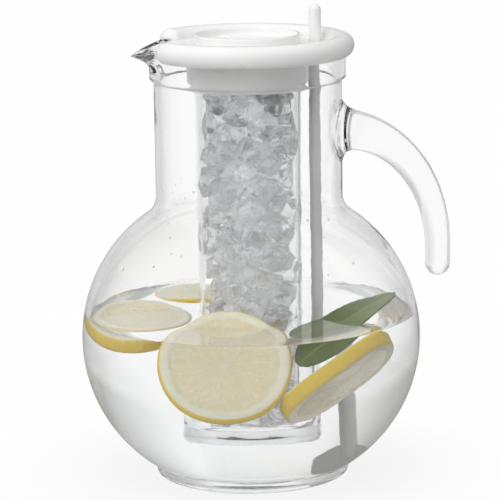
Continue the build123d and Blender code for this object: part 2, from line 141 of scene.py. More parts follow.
class LidSizes(PropertyGroup):
    """Sizes of the lid, the filler cap and the stirrer."""

    top: metres("Top", "Top of the bead", LID_HIGH.z)
    radius: metres("Radius", "Radius of the bead", LID_HIGH.y)
    bead_half: metres("Bead half height", "Half of the bead's height", 0.00545)
    floor_top: metres("Floor top", "Upper face of the sunk floor", 0.2165)
    floor: metres("Floor", "Thickness of the floor", 0.0025)
    skirt_radius: metres("Skirt radius", "Outer radius of the plug skirt", 0.0432)
    skirt_wall: metres("Skirt wall", "Wall of the skirt", 0.002)
    skirt_drop: metres("Skirt drop", "Depth of the skirt under the floor", 0.003)
    notch_half_angle: degrees("Notch half angle", "Half of the bead's gap at the spout", 29.0)
    hole_radius: metres("Fill hole radius", "Radius of the fill hole", 0.024)
    socket_radius: metres("Socket radius", "Outer radius of the tube's socket", 0.0303)
    socket_chamfer: metres("Socket chamfer", "Chamfer under the socket", 0.0024)
    cap_radius: metres("Cap radius", "Radius of the filler cap", CAP_HIGH.y)
    cap_wall: metres("Cap wall", "Wall of the cap's ring", 0.0018)
    cap_dish: metres("Cap dish", "Floor of the dish", 0.002)
    cap_plug: metres("Cap plug radius", "Radius of the cap's plug", 0.0236)
    rod_radius: metres("Rod radius", "Radius of the stirrer's rod", 0.00305)
    rod_place: metres(
        "Rod place", "Where the rod stands in the lid", (STIRRER_LOW.xy + STIRRER_HIGH.xy) / 2
    )
    rod_hole: metres("Rod hole", "Radius of the rod's hole in the lid", 0.0034)
    paddle_height: metres("Paddle height", "Height of the paddle", 0.0195)
    paddle_thickness: metres("Paddle thickness", "Thickness of the paddle", 0.0032)
    white: tint("White", "Colour of the white plastic", (0.83, 0.83, 0.825))


class TubeSizes(PropertyGroup):
    """Sizes of the ice tube and the ice."""

    bottom: metres("Bottom", "Underside of the tube", TUBE_LOW.z)
    top: metres("Top", "Rim of the tube", TUBE_HIGH.z)
    top_radius: metres("Top radius", "Outer radius at the rim", TUBE_HIGH.y)
    bottom_radius: metres("Bottom radius", "Outer radius at the base", 0.0255)
    wall: metres("Wall", "Wall of the tube", 0.0022)
    base: metres("Base", "Thickness of the base", 0.0052)
    fillet: metres("Fillet", "Round of the base's edges", 0.003)
    ice_radius: metres("Ice radius", "Radius of the ice column", ICE_HIGH.y)
    lumps: count("Lumps", "Number of lumps of ice", 112)
    ice_chips: metres("Ice chips", "Depth of the chips in a lump's faces", 0.0006)
    ice_chip_scale: plain("Ice chip scale", "Number of chips in a metre", 260.0)
    ice_pressed: plain("Ice pressed", "Share of the lumps that lie against the tube", 0.5, "FACTOR")
    ice_heart: metres("Ice heart", "Radius of the cloudy heart of the ice", 0.009)
    gap: metres("Gap", "Mean gap between lumps", 0.0009)


class DrinkSizes(PropertyGroup):
    """Sizes of the water, its droplets, the lemon slices and the leaf."""

    level: metres("Level", "Height of the water", WATER_HIGH.z)
    overlap: metres("Overlap", "Reach of the water into the glass", 0.00015)
    meniscus: metres("Meniscus", "Rise of the water at a wall", 0.0008)
    droplets: count("Droplets", "Droplets on the wall above the water", 64)
    droplet_radius: metres("Droplet radius", "Radius of the largest droplet", 0.0008)
    rind_round: metres("Rind round", "Round of a slice's rind", 0.0024)
    leaf_base: metres("Leaf base", "Where the leaf begins", (0.01856, -0.04503, 0.0680))
    leaf_tip: metres("Leaf tip", "Where the leaf ends", (0.07145, -0.01106, 0.0955))
    leaf_width: metres("Leaf width", "Width of the leaf", 0.023)
    leaf_bow: metres("Leaf bow", "Radius of the leaf's bow", 0.24)
    leaf_roll: degrees("Leaf roll", "Turn of the leaf round its length", 26.0)
    leaf_twist: degrees("Leaf twist", "Turn of the leaf from its base to its tip", -36.0)
    rind_colour: tint("Rind", "Colour of the lemon's rind", (1.0, 0.67, 0.0))
    flesh_colour: tint("Flesh", "Colour of the lemon's flesh", (0.90, 0.84, 0.64))
    leaf_colour: tint("Leaf", "Colour of the leaf", (0.13, 0.19, 0.02))


class StageSettings(PropertyGroup):
    """Camera and light of the stage."""

    aim_height: metres("Aim height", "Height that the camera looks at", 0.113)
    distance: metres("Distance", "Camera to the point it looks at", 1.399)
    pitch: degrees("Pitch", "Angle that the camera looks down", 11.53)
    roll: degrees("Roll", "Lean of the camera", -0.8)
    lens: plain("Lens", "Focal length in millimetres", 200.9)
    top_power: plain("Top power", "Power of the lamp overhead", 5.0, "POWER")
    fill_power: plain("Fill power", "Power of the lamp in front", 8.0, "POWER")
    glint_power: plain(
        "Glint power", "Power of the small lamp that makes wet things glint", 0.35, "POWER"
    )
    ambient: plain("Ambient", "Strength of the even light", 0.68)
    sky: plain("Sky", "Brightness of the grey corners that glass shows", 0.58)
    table: plain("Table", "Brightness of the table that glass shows", 1.0)
    dusk: plain("Dusk", "Share of the studio that gloss shows", 0.35)


# Profiles and common mesh work

MERGE_DISTANCE = 1e-6
DOME_TURN = math.radians(88)


class Outline:
    """A profile drawn in the XZ plane with lines and arcs, to be spun round the upright axis."""

    def __init__(self, radius, height):
        self.bm = bmesh.new()
        self.first = self.bm.verts.new((radius, 0, height))
        self.last = self.first

    def line(self, radius, height, steps=1):
        """Straight run to a point, in even steps."""
        start = self.last.co.copy()
        end = Vector((radius, 0, height))
        for step in range(steps):
            self.last = bmesh.ops.extrude_vert_indiv(self.bm, verts=[self.last])["verts"][0]
            self.last.co = start.lerp(end, (step + 1) / steps)
        return self

    def lines(self, *points):
        """Straight runs through points of a radius and a height."""
        for radius, height in points:
            self.line(radius, height)
        return self

    def arc(self, radius, height, turn, steps):
        """Arc round a centre; the turn in radians is positive from outwards to upwards."""
        swept = bmesh.ops.spin(
            self.bm, geom=[self.last], cent=(radius, 0, height), axis=(0, -1, 0), angle=turn, steps=steps
        )
        self.last = only_verts(swept["geom_last"])[0]
        return self

    def close(self):
        """Joins the last point to the first."""
        self.bm.edges.new((self.last, self.first))
        return self

    def spun(self, steps):
        """The profile turned all the way round, as a closed mesh."""
        spin(self.bm, self.bm.verts[:] + self.bm.edges[:], 2 * math.pi, steps, use_merge=True)
        bmesh.ops.remove_doubles(self.bm, verts=self.bm.verts[:], dist=MERGE_DISTANCE)
        face_outwards(self.bm)
        return self.bm


def spin(bm, geometry, turn, steps, **more):
    """Sweeps geometry round the upright axis and returns what the operator made."""
    return bmesh.ops.spin(
        bm, geom=geometry, cent=(0, 0, 0), axis=(0, 0, 1), angle=turn, steps=steps, **more
    )


def face_outwards(bm):
    """Turns all faces outwards."""
    bmesh.ops.recalc_face_normals(bm, faces=bm.faces[:])


def move(bm, matrix):
    """Moves a whole bmesh by a matrix."""
    bmesh.ops.transform(bm, matrix=matrix, verts=bm.verts[:])


def axes_matrix(*columns):
    """Matrix with three axes and a place as its columns."""
    matrix = Matrix.Identity(4)
    for column, vector in enumerate(columns):
        for row in range(3):
            matrix[row][column] = vector[row]
    return matrix


def only_verts(geometry):
    """Vertices among an operator's results."""
    return [item for item in geometry if isinstance(item, bmesh.types.BMVert)]


def only_edges(geometry):
    """Edges among an operator's results."""
    return [item for item in geometry if isinstance(item, bmesh.types.BMEdge)]


def grow_ring(bm, edges, matrix):
    """Extrudes a ring of edges, moves the new ring by a matrix and returns its edges."""
    grown = bmesh.ops.extrude_edge_only(bm, edges=edges)["geom"]
    new_verts = only_verts(grown)
    bmesh.ops.transform(bm, matrix=matrix, verts=new_verts)
    return [edge for edge in only_edges(grown) if all(vert in new_verts for vert in edge.verts)]


def round_end(bm, edges, centre, direction, reach, steps):
    """Closes a swept ring with a domed end that reaches along a direction."""
    share, ahead = 1.0, 0.0
    middle = Matrix.Translation(centre)
    for step in range(1, steps + 1):
        turn = DOME_TURN * step / steps
        next_share, next_ahead = math.cos(turn), reach * math.sin(turn)
        here = middle @ Matrix.Translation(direction * next_ahead)
        back = (middle @ Matrix.Translation(direction * ahead)).inverted()
        edges = grow_ring(bm, edges, here @ Matrix.Scale(next_share / share, 4) @ back)
        share, ahead = next_share, next_ahead
    bmesh.ops.edgeloop_fill(bm, edges=edges)


def append_mesh(bm, other):
    """Adds the geometry of another bmesh and frees it."""
    mesh = bpy.data.meshes.new("joined")
    other.to_mesh(mesh)
    other.free()
    bm.from_mesh(mesh)
    bpy.data.meshes.remove(mesh)


def bare_object(bm, name):
    """Object that holds a bmesh, linked to the scene."""
    mesh = bpy.data.meshes.new(name)
    bm.to_mesh(mesh)
    bm.free()
    piece = bpy.data.objects.new(name, mesh)
    bpy.context.scene.collection.objects.link(piece)
    return piece


def combine(piece, tool, operation):
    """Applies a Boolean of a tool object to a piece and removes the tool."""
    boolean = piece.modifiers.new("Combine", "BOOLEAN")
    boolean.operation = operation
    boolean.solver = "EXACT"
    boolean.object = tool
    evaluated = piece.evaluated_get(bpy.context.evaluated_depsgraph_get())
    mesh = bpy.data.meshes.new_from_object(evaluated)
    piece.modifiers.clear()
    piece.data = mesh
    bpy.data.objects.remove(tool)


def finish_piece(piece, body, nodes, materials, crease):
    """Shades a piece, gives it its materials and its body, and lets it stand for its nodes."""
    piece.data.shade_smooth()
    piece.data.set_sharp_from_angle(angle=math.radians(crease))
    piece.data.materials.clear()
    for material in materials:
        piece.data.materials.append(material)
    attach(piece, body)
    if nodes:
        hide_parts(*nodes)


# Nodes

COLUMN_WIDTH = 220
ROW_HEIGHT = 260


def feed(tree, socket, value):
    """Links a socket to an input, or sets the input to a number, a vector or a colour."""
    if isinstance(value, NodeSocket):
        tree.links.new(value, socket)
    elif socket.type == "RGBA":
        socket.default_value = (*value[:3], 1.0)
    else:
        socket.default_value = value


def put(tree, kind, feeds=None, **settings):
    """New shader node with its properties set and its inputs fed."""
    node = tree.nodes.new(f"ShaderNode{kind}")
    for name, value in settings.items():
        setattr(node, name, value)
    for key, value in (feeds or {}).items():
        feed(tree, node.inputs[key], value)
    return node


def put_maths(tree, operation, *values):
    """Maths node on sockets or numbers; returns its value."""
    return put(tree, "Math", dict(enumerate(values)), operation=operation).outputs[0]


def put_vector(tree, operation, *values):
    """Vector maths node on sockets or vectors; returns its outputs."""
    return put(tree, "VectorMath", dict(enumerate(values)), operation=operation).outputs


def put_range(tree, value, low, high, to_low=0.0, to_high=1.0, smooth=True):
    """Map range node that fades between two values; returns its result."""
    feeds = {"Value": value, "From Min": low, "From Max": high, "To Min": to_low, "To Max": to_high}
    kind = "SMOOTHSTEP" if smooth else "LINEAR"
    return put(tree, "MapRange", feeds, interpolation_type=kind).outputs["Result"]


def put_mix(tree, factor, first, second):
    """Colour mix of two colours or sockets; returns the colour."""
    return put(tree, "Mix", {"Factor": factor, 6: first, 7: second}, data_type="RGBA").outputs[2]


def put_blend(tree, factor, first, second):
    """Mix of two shaders; returns the shader."""
    return put(tree, "MixShader", {"Fac": factor, 1: first, 2: second}).outputs["Shader"]


def put_bump(tree, height, strength, distance):
    """Bump node on a height; returns its normal."""
    feeds = {"Height": height, "Strength": strength, "Distance": distance}
    return put(tree, "Bump", feeds).outputs["Normal"]


def put_principled(tree, **feeds):
    """Principled shader; feeds are its inputs, with spaces written as underscores."""
    feeds = {name.replace("_", " "): value for name, value in feeds.items()}
    return put(tree, "BsdfPrincipled", feeds).outputs["BSDF"]


def put_beside(tree, value):
    """How far a value lies from the middle between two whole numbers, from 0 to a half."""
    offset = put_maths(tree, "SUBTRACT", put_maths(tree, "FRACT", value), 0.5)
    return put_maths(tree, "ABSOLUTE", offset)


def arrange(tree):
    """Lays out a tree's nodes in columns, with what feeds a node on its left."""
    depth = {node.name: 0 for node in tree.nodes}
    for _ in tree.nodes:
        for link in tree.links:
            source = link.from_node.name
            depth[source] = max(depth[source], depth[link.to_node.name] + 1)
    rows = {}
    for node in tree.nodes:
        column = depth[node.name]
        rows[column] = rows.get(column, 0) + 1
        node.location = (-COLUMN_WIDTH * column, -ROW_HEIGHT * rows[column])


def uneven_group():
    """Slow waves and fine grain of a formed surface, as a height and a cloud mask."""
    name = "Uneven surface"
    if name in bpy.data.node_groups:
        return bpy.data.node_groups[name]
    tree = bpy.data.node_groups.new(name, "ShaderNodeTree")
    tree.interface.new_socket("Vector", in_out="INPUT", socket_type="NodeSocketVector")
    for label, default in (("Wave Scale", 60.0), ("Grain Scale", 900.0), ("Grain Share", 0.1)):
        socket = tree.interface.new_socket(label, in_out="INPUT", socket_type="NodeSocketFloat")
        socket.default_value = default
    for label in ("Height", "Cloud"):
        tree.interface.new_socket(label, in_out="OUTPUT", socket_type="NodeSocketFloat")
    given = tree.nodes.new("NodeGroupInput").outputs
    waves, grain = (
        put(tree, "TexNoise", {"Vector": given["Vector"], "Scale": given[label], "Detail": detail})
        for label, detail in (("Wave Scale", 1.0), ("Grain Scale", 2.0))
    )
    fine = put_maths(tree, "MULTIPLY", grain.outputs["Fac"], given["Grain Share"])
    end = tree.nodes.new("NodeGroupOutput").inputs
    feed(tree, end["Height"], put_maths(tree, "ADD", waves.outputs["Fac"], fine))
    feed(tree, end["Cloud"], put_range(tree, waves.outputs["Fac"], 0.35, 0.65))
    arrange(tree)
    return tree


def put_uneven(tree, waves, grain, share):
    """The uneven surface group on Object coordinates, with its own values; returns its outputs."""
    place = put(tree, "TexCoord").outputs["Object"]
    feeds = {"Vector": place, "Wave Scale": waves, "Grain Scale": grain, "Grain Share": share}
    return put(tree, "Group", feeds, node_tree=uneven_group()).outputs


# Materials


def new_material(name):
    """Empty node material, and its node tree."""
    material = bpy.data.materials.new(name)
    material.use_nodes = True
    material.node_tree.nodes.clear()
    return material, material.node_tree


def finish_material(material, **feeds):
    """Feeds a material's output and lays out its nodes."""
    put(material.node_tree, "OutputMaterial", feeds)
    arrange(material.node_tree)
    return material


def finish_clear(material, lamps, inside, density, **feeds):
    """Ends a clear material, so that lamps shine through it and its inside takes up some light."""
    tree = material.node_tree
    shader = put_principled(tree, **feeds)
    through = put(tree, "BsdfTransparent", {"Color": lamps}).outputs["BSDF"]
    shadow = put(tree, "LightPath").outputs["Is Shadow Ray"]
    volume = put(tree, "VolumeAbsorption", {"Color": inside, "Density": density}).outputs["Volume"]
    return finish_material(material, Surface=put_blend(tree, shadow, shader, through), Volume=volume)


def toned(colour, *factors):
    """Colour with its red, green and blue multiplied."""
    return tuple(value * factor for value, factor in zip(colour, factors))


def jug_glass():
    """Clear pressed glass: slow waves in the surface, and painted grey shade where it is seen edge-on.
    """
    material, tree = new_material("jug_glass")
    uneven = put_uneven(tree, waves=42.0, grain=420.0, share=0.04)
    facing = put(tree, "LayerWeight", {"Blend": 0.5}).outputs["Facing"]
    # Painted shade: the glass is tinted grey where it is seen edge-on, in place of the dark studio that
    # such edges would show.
    edge = put_range(tree, facing, 0.45, 0.92)
    return finish_clear(
        material,
        lamps=(0.98, 0.985, 0.985),
        inside=(0.25, 0.28, 0.27),
        density=1.5,
        Base_Color=put_mix(tree, edge, (0.998, 0.998, 0.998), (0.86, 0.86, 0.86)),
        Roughness=0.0,
        IOR=1.51,
        Transmission_Weight=1.0,
        Normal=put_bump(tree, uneven["Height"], strength=0.22, distance=0.0012),
    )


def clear_plastic():
    """Clear moulded plastic of the ice tube."""
    material, tree = new_material("clear_plastic")
    uneven = put_uneven(tree, waves=30.0, grain=500.0, share=0.05)
    return finish_clear(
        material,
        lamps=(0.97, 0.975, 0.98),
        inside=(0.30, 0.33, 0.34),
        density=4.0,
        Base_Color=(0.975, 0.98, 0.985),
        Roughness=0.015,
        IOR=1.49,
        Transmission_Weight=1.0,
        Normal=put_bump(tree, uneven["Height"], strength=0.08, distance=0.001),
    )


def drink_water():
    """Still water with a faint ripple."""
    material, tree = new_material("drink_water")
    uneven = put_uneven(tree, waves=24.0, grain=200.0, share=0.05)
    return finish_clear(
        material,
        lamps=(0.985, 0.99, 0.99),
        inside=(0.80, 0.86, 0.88),
        density=0.6,
        Base_Color=(0.985, 0.99, 0.99),
        Roughness=0.0,
        IOR=1.333,
        Transmission_Weight=1.0,
        Normal=put_bump(tree, uneven["Height"], strength=0.05, distance=0.001),
    )


def broken_ice(name, clearness):
    """Wet broken ice with a pitted skin, as clear as it is told to be."""
    material, tree = new_material(name)
    uneven = put_uneven(tree, waves=120.0, grain=420.0, share=0.3)
    return finish_clear(
        material,
        lamps=(0.94, 0.94, 0.94),
        inside=(0.40, 0.41, 0.41),
        density=4.0,
        Base_Color=put_mix(tree, uneven["Cloud"], (0.86, 0.865, 0.87), (0.95, 0.955, 0.96)),
        Roughness=put_range(tree, uneven["Cloud"], 0.0, 1.0, 0.02, 0.0),
        IOR=1.31,
        Transmission_Weight=clearness,
        Normal=put_bump(tree, uneven["Height"], strength=0.55, distance=0.002),
    )


def white_plastic(name, white):
    """White moulded plastic, satin with a faint grain and slightly uneven gloss."""
    material, tree = new_material(name)
    uneven = put_uneven(tree, waves=40.0, grain=2600.0, share=0.5)
    shader = put_principled(
        tree,
        Base_Color=put_mix(tree, uneven["Cloud"], white, toned(white, 0.994, 0.994, 0.994)),
        Roughness=put_range(tree, uneven["Cloud"], 0.0, 1.0, 0.27, 0.31),
        IOR=1.5,
        Coat_Weight=0.15,
        Coat_Roughness=0.12,
        Normal=put_bump(tree, uneven["Height"], strength=0.08, distance=0.0004),
    )
    return finish_material(material, Surface=shader)


def lemon_flesh(flesh_colour, segments=10):
    """Cut face of a lemon on its own round map: segments, juice sacs, membranes and pith."""
    material, tree = new_material("lemon_flesh")
    flat = put(tree, "UVMap", uv_map="slice").outputs["UV"]
    centred = put_vector(tree, "MULTIPLY_ADD", flat, (2, 2, 0), (-1, -1, 0))["Vector"]
    wobble = put(tree, "TexNoise", {"Vector": centred, "Scale": 2.2, "Detail": 2.0}).outputs["Fac"]
    split = put(tree, "SeparateXYZ", {"Vector": centred}).outputs
    radius = put_vector(tree, "LENGTH", centred)["Value"]
    bearing = put_maths(tree, "ARCTAN2", split["Y"], split["X"])
    turns = put_maths(tree, "MULTIPLY", bearing, segments / (2 * math.pi))
    turns = put_maths(tree, "ADD", turns, put_maths(tree, "MULTIPLY", wobble, 0.7))
    to_membrane = put_maths(tree, "SUBTRACT", 0.5, put_beside(tree, turns))
    distance = put_maths(tree, "MULTIPLY", to_membrane, radius)
    membrane = put_range(tree, distance, 0.002, 0.026, 0.45, 0.0)
    ragged = put_maths(tree, "ADD", radius, put_maths(tree, "MULTIPLY", wobble, 0.05))
    pith = put_range(tree, ragged, 0.82, 0.875)
    heart = put_range(tree, ragged, 0.05, 0.10, 1.0, 0.0)
    pale = put_maths(tree, "MAXIMUM", put_maths(tree, "MAXIMUM", membrane, pith), heart)
    around = put_maths(tree, "MULTIPLY", bearing, 5.0)
    outward = put_maths(tree, "MULTIPLY", radius, 5.5)
    sacs = put(tree, "CombineXYZ", {"X": around, "Y": outward}).outputs["Vector"]
    feeds = {"Vector": sacs, "Scale": 2.0, "Smoothness": 0.5}
    cells = put(tree, "TexVoronoi", feeds, feature="SMOOTH_F1").outputs["Distance"]
    juice = put_range(tree, cells, 0.05, 0.75)
    flesh = put_mix(tree, juice, flesh_colour, toned(flesh_colour, 0.94, 0.91, 0.80))
    colour = put_mix(tree, pale, flesh, (0.91, 0.87, 0.71))
    colour = put_mix(tree, put_range(tree, radius, 0.950, 0.985), colour, (0.90, 0.66, 0.10))
    swell = put_maths(tree, "SUBTRACT", pale, juice)
    shader = put_principled(
        tree,
        Base_Color=colour,
        Roughness=put_range(tree, pale, 0.0, 1.0, 0.22, 0.5),
        Specular_IOR_Level=0.25,
        Subsurface_Weight=0.4,
        Subsurface_Radius=(1.0, 0.8, 0.4),
        Subsurface_Scale=0.005,
        Normal=put_bump(tree, swell, strength=0.5, distance=0.0006),
    )
    return finish_material(material, Surface=shader)


def lemon_rind(rind_colour):
    """Yellow rind with pores and a soft gloss."""
    material, tree = new_material("lemon_rind")
    cloud = put_uneven(tree, waves=60.0, grain=700.0, share=0.3)["Cloud"]
    place = put(tree, "TexCoord").outputs["Object"]
    pores = put(tree, "TexVoronoi", {"Vector": place, "Scale": 620.0}, feature="F1").outputs["Distance"]
    shader = put_principled(
        tree,
        Base_Color=put_mix(tree, cloud, rind_colour, toned(rind_colour, 0.94, 0.86, 0.60)),
        Roughness=0.38,
        Specular_IOR_Level=0.2,
        Subsurface_Weight=0.15,
        Subsurface_Radius=(1.0, 0.7, 0.2),
        Subsurface_Scale=0.002,
        Normal=put_bump(tree, put_range(tree, pores, 0.0, 0.45), strength=0.8, distance=0.0006),
    )
    return finish_material(material, Surface=shader)


def waxy_leaf(leaf_colour):
    """Waxy leaf on its own map: pale midrib, side veins and a mottled green."""
    material, tree = new_material("waxy_leaf")
    flat = put(tree, "UVMap", uv_map="leaf").outputs["UV"]
    split = put(tree, "SeparateXYZ", {"Vector": flat}).outputs
    across = put_maths(tree, "ABSOLUTE", put_maths(tree, "SUBTRACT", split["Y"], 0.5))
    along = put_maths(tree, "SUBTRACT", split["X"], put_maths(tree, "MULTIPLY", across, 0.55))
    rows = put_beside(tree, put_maths(tree, "MULTIPLY", along, 13.0))
    veins = put_range(tree, rows, 0.04, 0.13, 1.0, 0.0)
    midrib = put_range(tree, across, 0.015, 0.05, 1.0, 0.0)
    lines = put_maths(tree, "MAXIMUM", put_maths(tree, "MULTIPLY", veins, 0.3), midrib)
    cloud = put_uneven(tree, waves=90.0, grain=600.0, share=0.2)["Cloud"]
    colour = put_mix(tree, cloud, leaf_colour, toned(leaf_colour, 0.7, 0.7, 0.7))
    shader = put_principled(
        tree,
        Base_Color=put_mix(tree, lines, colour, toned(leaf_colour, 1.5, 1.35, 1.6)),
        Roughness=0.36,
        Specular_IOR_Level=0.3,
        Coat_Weight=0.15,
        Sheen_Weight=0.1,
        Sheen_Tint=(0.75, 0.85, 0.75),
        Normal=put_bump(tree, lines, strength=0.35, distance=0.0005),
    )
    return finish_material(material, Surface=shader)


# Jug

FOOT_RING = 0.0045
FOOT_EDGE = 0.0015
FOOT_BEND_IN = 1.3
FOOT_BEND_UP = 0.35
COLLAR_UNDERCUT = 0.4
SPOUT_ROOT = 0.75
SPOUT_BLUNTNESS = 0.0064
SPOUT_PINCH = 0.35
SPOUT_INNER_POWER = 1.3
SPOUT_OUTER_POWER = 2.6
HANDLE_STAND_OFF = 0.0002
HANDLE_SUNK = 0.0028
HANDLE_FLARE_FADE = 0.002
HANDLE_HUG_FADE = 0.009
HANDLE_TAPER_POWER = 1.5
HANDLE_STEPS = 30
HANDLE_STEP_POWER = 1.6


def belly_centre(jug):
    """Radius at which the centre of the belly's arc lies."""
    return jug.belly_radius - jug.belly_arc


def tangent_height(jug, radius, reach):
    """Height above the belly's centre of a round that lies at a radius and a reach from that centre."""
    return math.sqrt(reach**2 - (radius - belly_centre(jug)) ** 2)


def inner_shoulder(jug):
    """Bore of the neck, and the radius, the height over the belly and the turn of the round below it."""
    bore = jug.neck_radius - jug.neck_wall
    radius = jug.shoulder + jug.wall
    rise = tangent_height(jug, bore + radius, jug.belly_arc - jug.wall + radius)
    return bore, radius, rise, math.atan2(rise, bore + radius - belly_centre(jug))


def inner_floor(jug):
    """Place of the centre of the round at the floor, and the angle where it meets the belly's inside."""
    height = jug.floor + jug.floor_fillet
    reach = jug.belly_arc - jug.wall - jug.floor_fillet
    run = math.sqrt(reach**2 - (jug.belly_height - height) ** 2)
    return belly_centre(jug) + run, height, math.atan2(height - jug.belly_height, run)


def inner_radius_at(jug, height):
    """Radius of the inside of the jug at a height above the floor's fillet."""
    bore, radius, rise, turn = inner_shoulder(jug)
    inside = jug.belly_arc - jug.wall
    top = jug.belly_height + rise
    if height >= top:
        return bore
    if height >= jug.belly_height + inside * math.sin(turn):
        return bore + radius - math.sqrt(radius**2 - (height - top) ** 2)
    return belly_centre(jug) + math.sqrt(inside**2 - (height - jug.belly_height) ** 2)


def draw_jug_outside(jug):
    """Profile from the middle of the hollow foot up the outside to the rim."""
    centre = belly_centre(jug)
    foot_top = centre + math.sqrt(jug.belly_arc**2 - (jug.foot_height - jug.belly_height) ** 2)
    start = math.atan2(jug.foot_height - jug.belly_height, foot_top - centre)
    shoulder_radius = jug.neck_radius + jug.shoulder
    rise = tangent_height(jug, shoulder_radius, jug.belly_arc + jug.shoulder)
    turn = math.atan2(rise, shoulder_radius - centre)
    collar_bottom = jug.height - jug.collar_height
    step = (jug.collar_radius - jug.neck_radius) * COLLAR_UNDERCUT
    lip = jug.collar_radius - jug.neck_radius - step
    outline = Outline(0, jug.foot_hollow)
    outline.line(jug.foot_radius - 2 * FOOT_RING, jug.foot_hollow, 4)
    outline.line(jug.foot_radius - FOOT_BEND_IN * FOOT_RING, jug.foot_hollow * FOOT_BEND_UP)
    outline.lines((jug.foot_radius - FOOT_RING, 0), (jug.foot_radius - FOOT_EDGE, 0))
    outline.arc(jug.foot_radius - FOOT_EDGE, FOOT_EDGE, QUARTER, 5)
    outline.line(foot_top, jug.foot_height, 2)
    outline.arc(centre, jug.belly_height, turn - start, 46)
    outline.arc(shoulder_radius, jug.belly_height + rise, -turn, 10)
    outline.line(jug.neck_radius, collar_bottom - step, 18)
    outline.arc(jug.neck_radius + step, collar_bottom - step, -QUARTER, 3)
    outline.arc(jug.neck_radius + step, collar_bottom + lip, QUARTER, 4)
    outline.line(jug.collar_radius, jug.height - jug.rim_round, 16)
    outline.arc(jug.collar_radius - jug.rim_round, jug.height - jug.rim_round, QUARTER, 5)
    return outline


def draw_jug_inside(jug, outline):
    """Goes on with the profile from the rim down the inside to the middle of the floor."""
    bore, radius, rise, turn = inner_shoulder(jug)
    floor_radius, floor_height, low = inner_floor(jug)
    outline.line(bore + jug.rim_round, jug.height)
    outline.arc(bore + jug.rim_round, jug.height - jug.rim_round, QUARTER, 5)
    outline.line(bore, jug.height - jug.collar_height, 16)
    outline.line(bore, jug.belly_height + rise, 14)
    outline.arc(bore + radius, jug.belly_height + rise, turn, 10)
    outline.arc(belly_centre(jug), jug.belly_height, low - turn, 46)
    outline.arc(floor_radius, floor_height, -QUARTER - low, 8)
    outline.line(0, jug.floor, 4)
    return outline


def pull_spout(jug, bm):
    """Draws the collar out into the pouring spout, thinner and lower at its tip."""
    foot = jug.height - SPOUT_ROOT * jug.collar_height
    mid_wall = (jug.collar_radius + jug.neck_radius - jug.neck_wall) / 2
    for vert in bm.verts:
        if vert.co.z <= foot or vert.co.x >= 0:
            continue
        bearing = abs(math.atan2(vert.co.y, -vert.co.x)) / jug.spout_half_angle
        if bearing >= 1:
            continue
        near_tip = 1 - math.sqrt(bearing**2 + SPOUT_BLUNTNESS) / math.sqrt(1 + SPOUT_BLUNTNESS)
        near_tip *= 1 - SPOUT_PINCH * math.sin(math.pi * bearing) * (1 - bearing)
        up = (vert.co.z - foot) / (jug.height - foot)
        inside = vert.co.xy.length < mid_wall
        reach = jug.spout_length + (jug.spout_thinning if inside else 0.0)
        vert.co.x -= reach * near_tip * up ** (SPOUT_INNER_POWER if inside else SPOUT_OUTER_POWER)
        vert.co.z -= jug.spout_drop * near_tip * up


def handle_station(jug, share, sunk=0.0):
    """Centre of the handle at a share of its curve, and the matrix that lays a unit circle across it."""
    turn = QUARTER * share
    across = jug.handle_span * math.sin(turn)
    down = jug.handle_drop * (1 - math.cos(turn))
    start = jug.neck_radius + HANDLE_STAND_OFF
    centre = Vector((start + across, 0, jug.handle_height - down)) - Vector((sunk, 0, 0))
    direction = Vector((jug.handle_span * math.cos(turn), 0, -jug.handle_drop * math.sin(turn)))
    direction.normalize()
    flare = jug.handle_flare * math.exp(-math.hypot(across, down) / HANDLE_FLARE_FADE)
    taper = (1 - share) ** HANDLE_TAPER_POWER
    width, height = (
        jug.handle_tip + (root - jug.handle_tip) * taper + flare for root in jug.handle_root
    )
    sideways = Vector((0, 1, 0))
    return centre, axes_matrix(sideways * width, direction.cross(sideways) * height, direction, centre)


def build_handle(jug):
    """Tapering glass bar on a quarter of an ellipse, spread onto the neck and rounded at its end."""
    bm = bmesh.new()
    _, matrix = handle_station(jug, 0, HANDLE_SUNK)
    bmesh.ops.create_circle(bm, segments=40, radius=1.0)
    move(bm, matrix)
    edges = bm.edges[:]
    bmesh.ops.edgeloop_fill(bm, edges=edges)
    for step in range(HANDLE_STEPS + 1):
        centre, following = handle_station(jug, (step / HANDLE_STEPS) ** HANDLE_STEP_POWER)
        edges = grow_ring(bm, edges, following @ matrix.inverted())
        matrix = following
    down = Vector((0, 0, -1))
    edges = grow_ring(bm, edges, Matrix.Translation(down * jug.handle_tail))
    round_end(bm, edges, centre + down * jug.handle_tail, down, jug.handle_tip, 8)
    for vert in bm.verts:
        out = max(vert.co.x - jug.neck_radius, 0.0)
        sag = jug.neck_radius - math.sqrt(max(jug.neck_radius**2 - vert.co.y**2, 0.0))
        vert.co.x -= sag * math.exp(-((out / HANDLE_HUG_FADE) ** 2))
    face_outwards(bm)
    return bm


class PITCHER_OT_jug(Operator):
    """Build the glass jug with its spout and handle"""

    bl_idname = "pitcher.jug"
    bl_label = "Glass jug"

    def execute(self, context):
        jug = context.scene.pitcher_jug
        bm = draw_jug_inside(jug, draw_jug_outside(jug)).spun(160)
        pull_spout(jug, bm)
        piece = bare_object(bm, "glass_jug")
        combine(piece, bare_object(build_handle(jug), "handle_blank"), "UNION")
        finish_piece(piece, "jug", ["jug_body", "handle"], [jug_glass()], 28.0)
        return {"FINISHED"}


# Drink

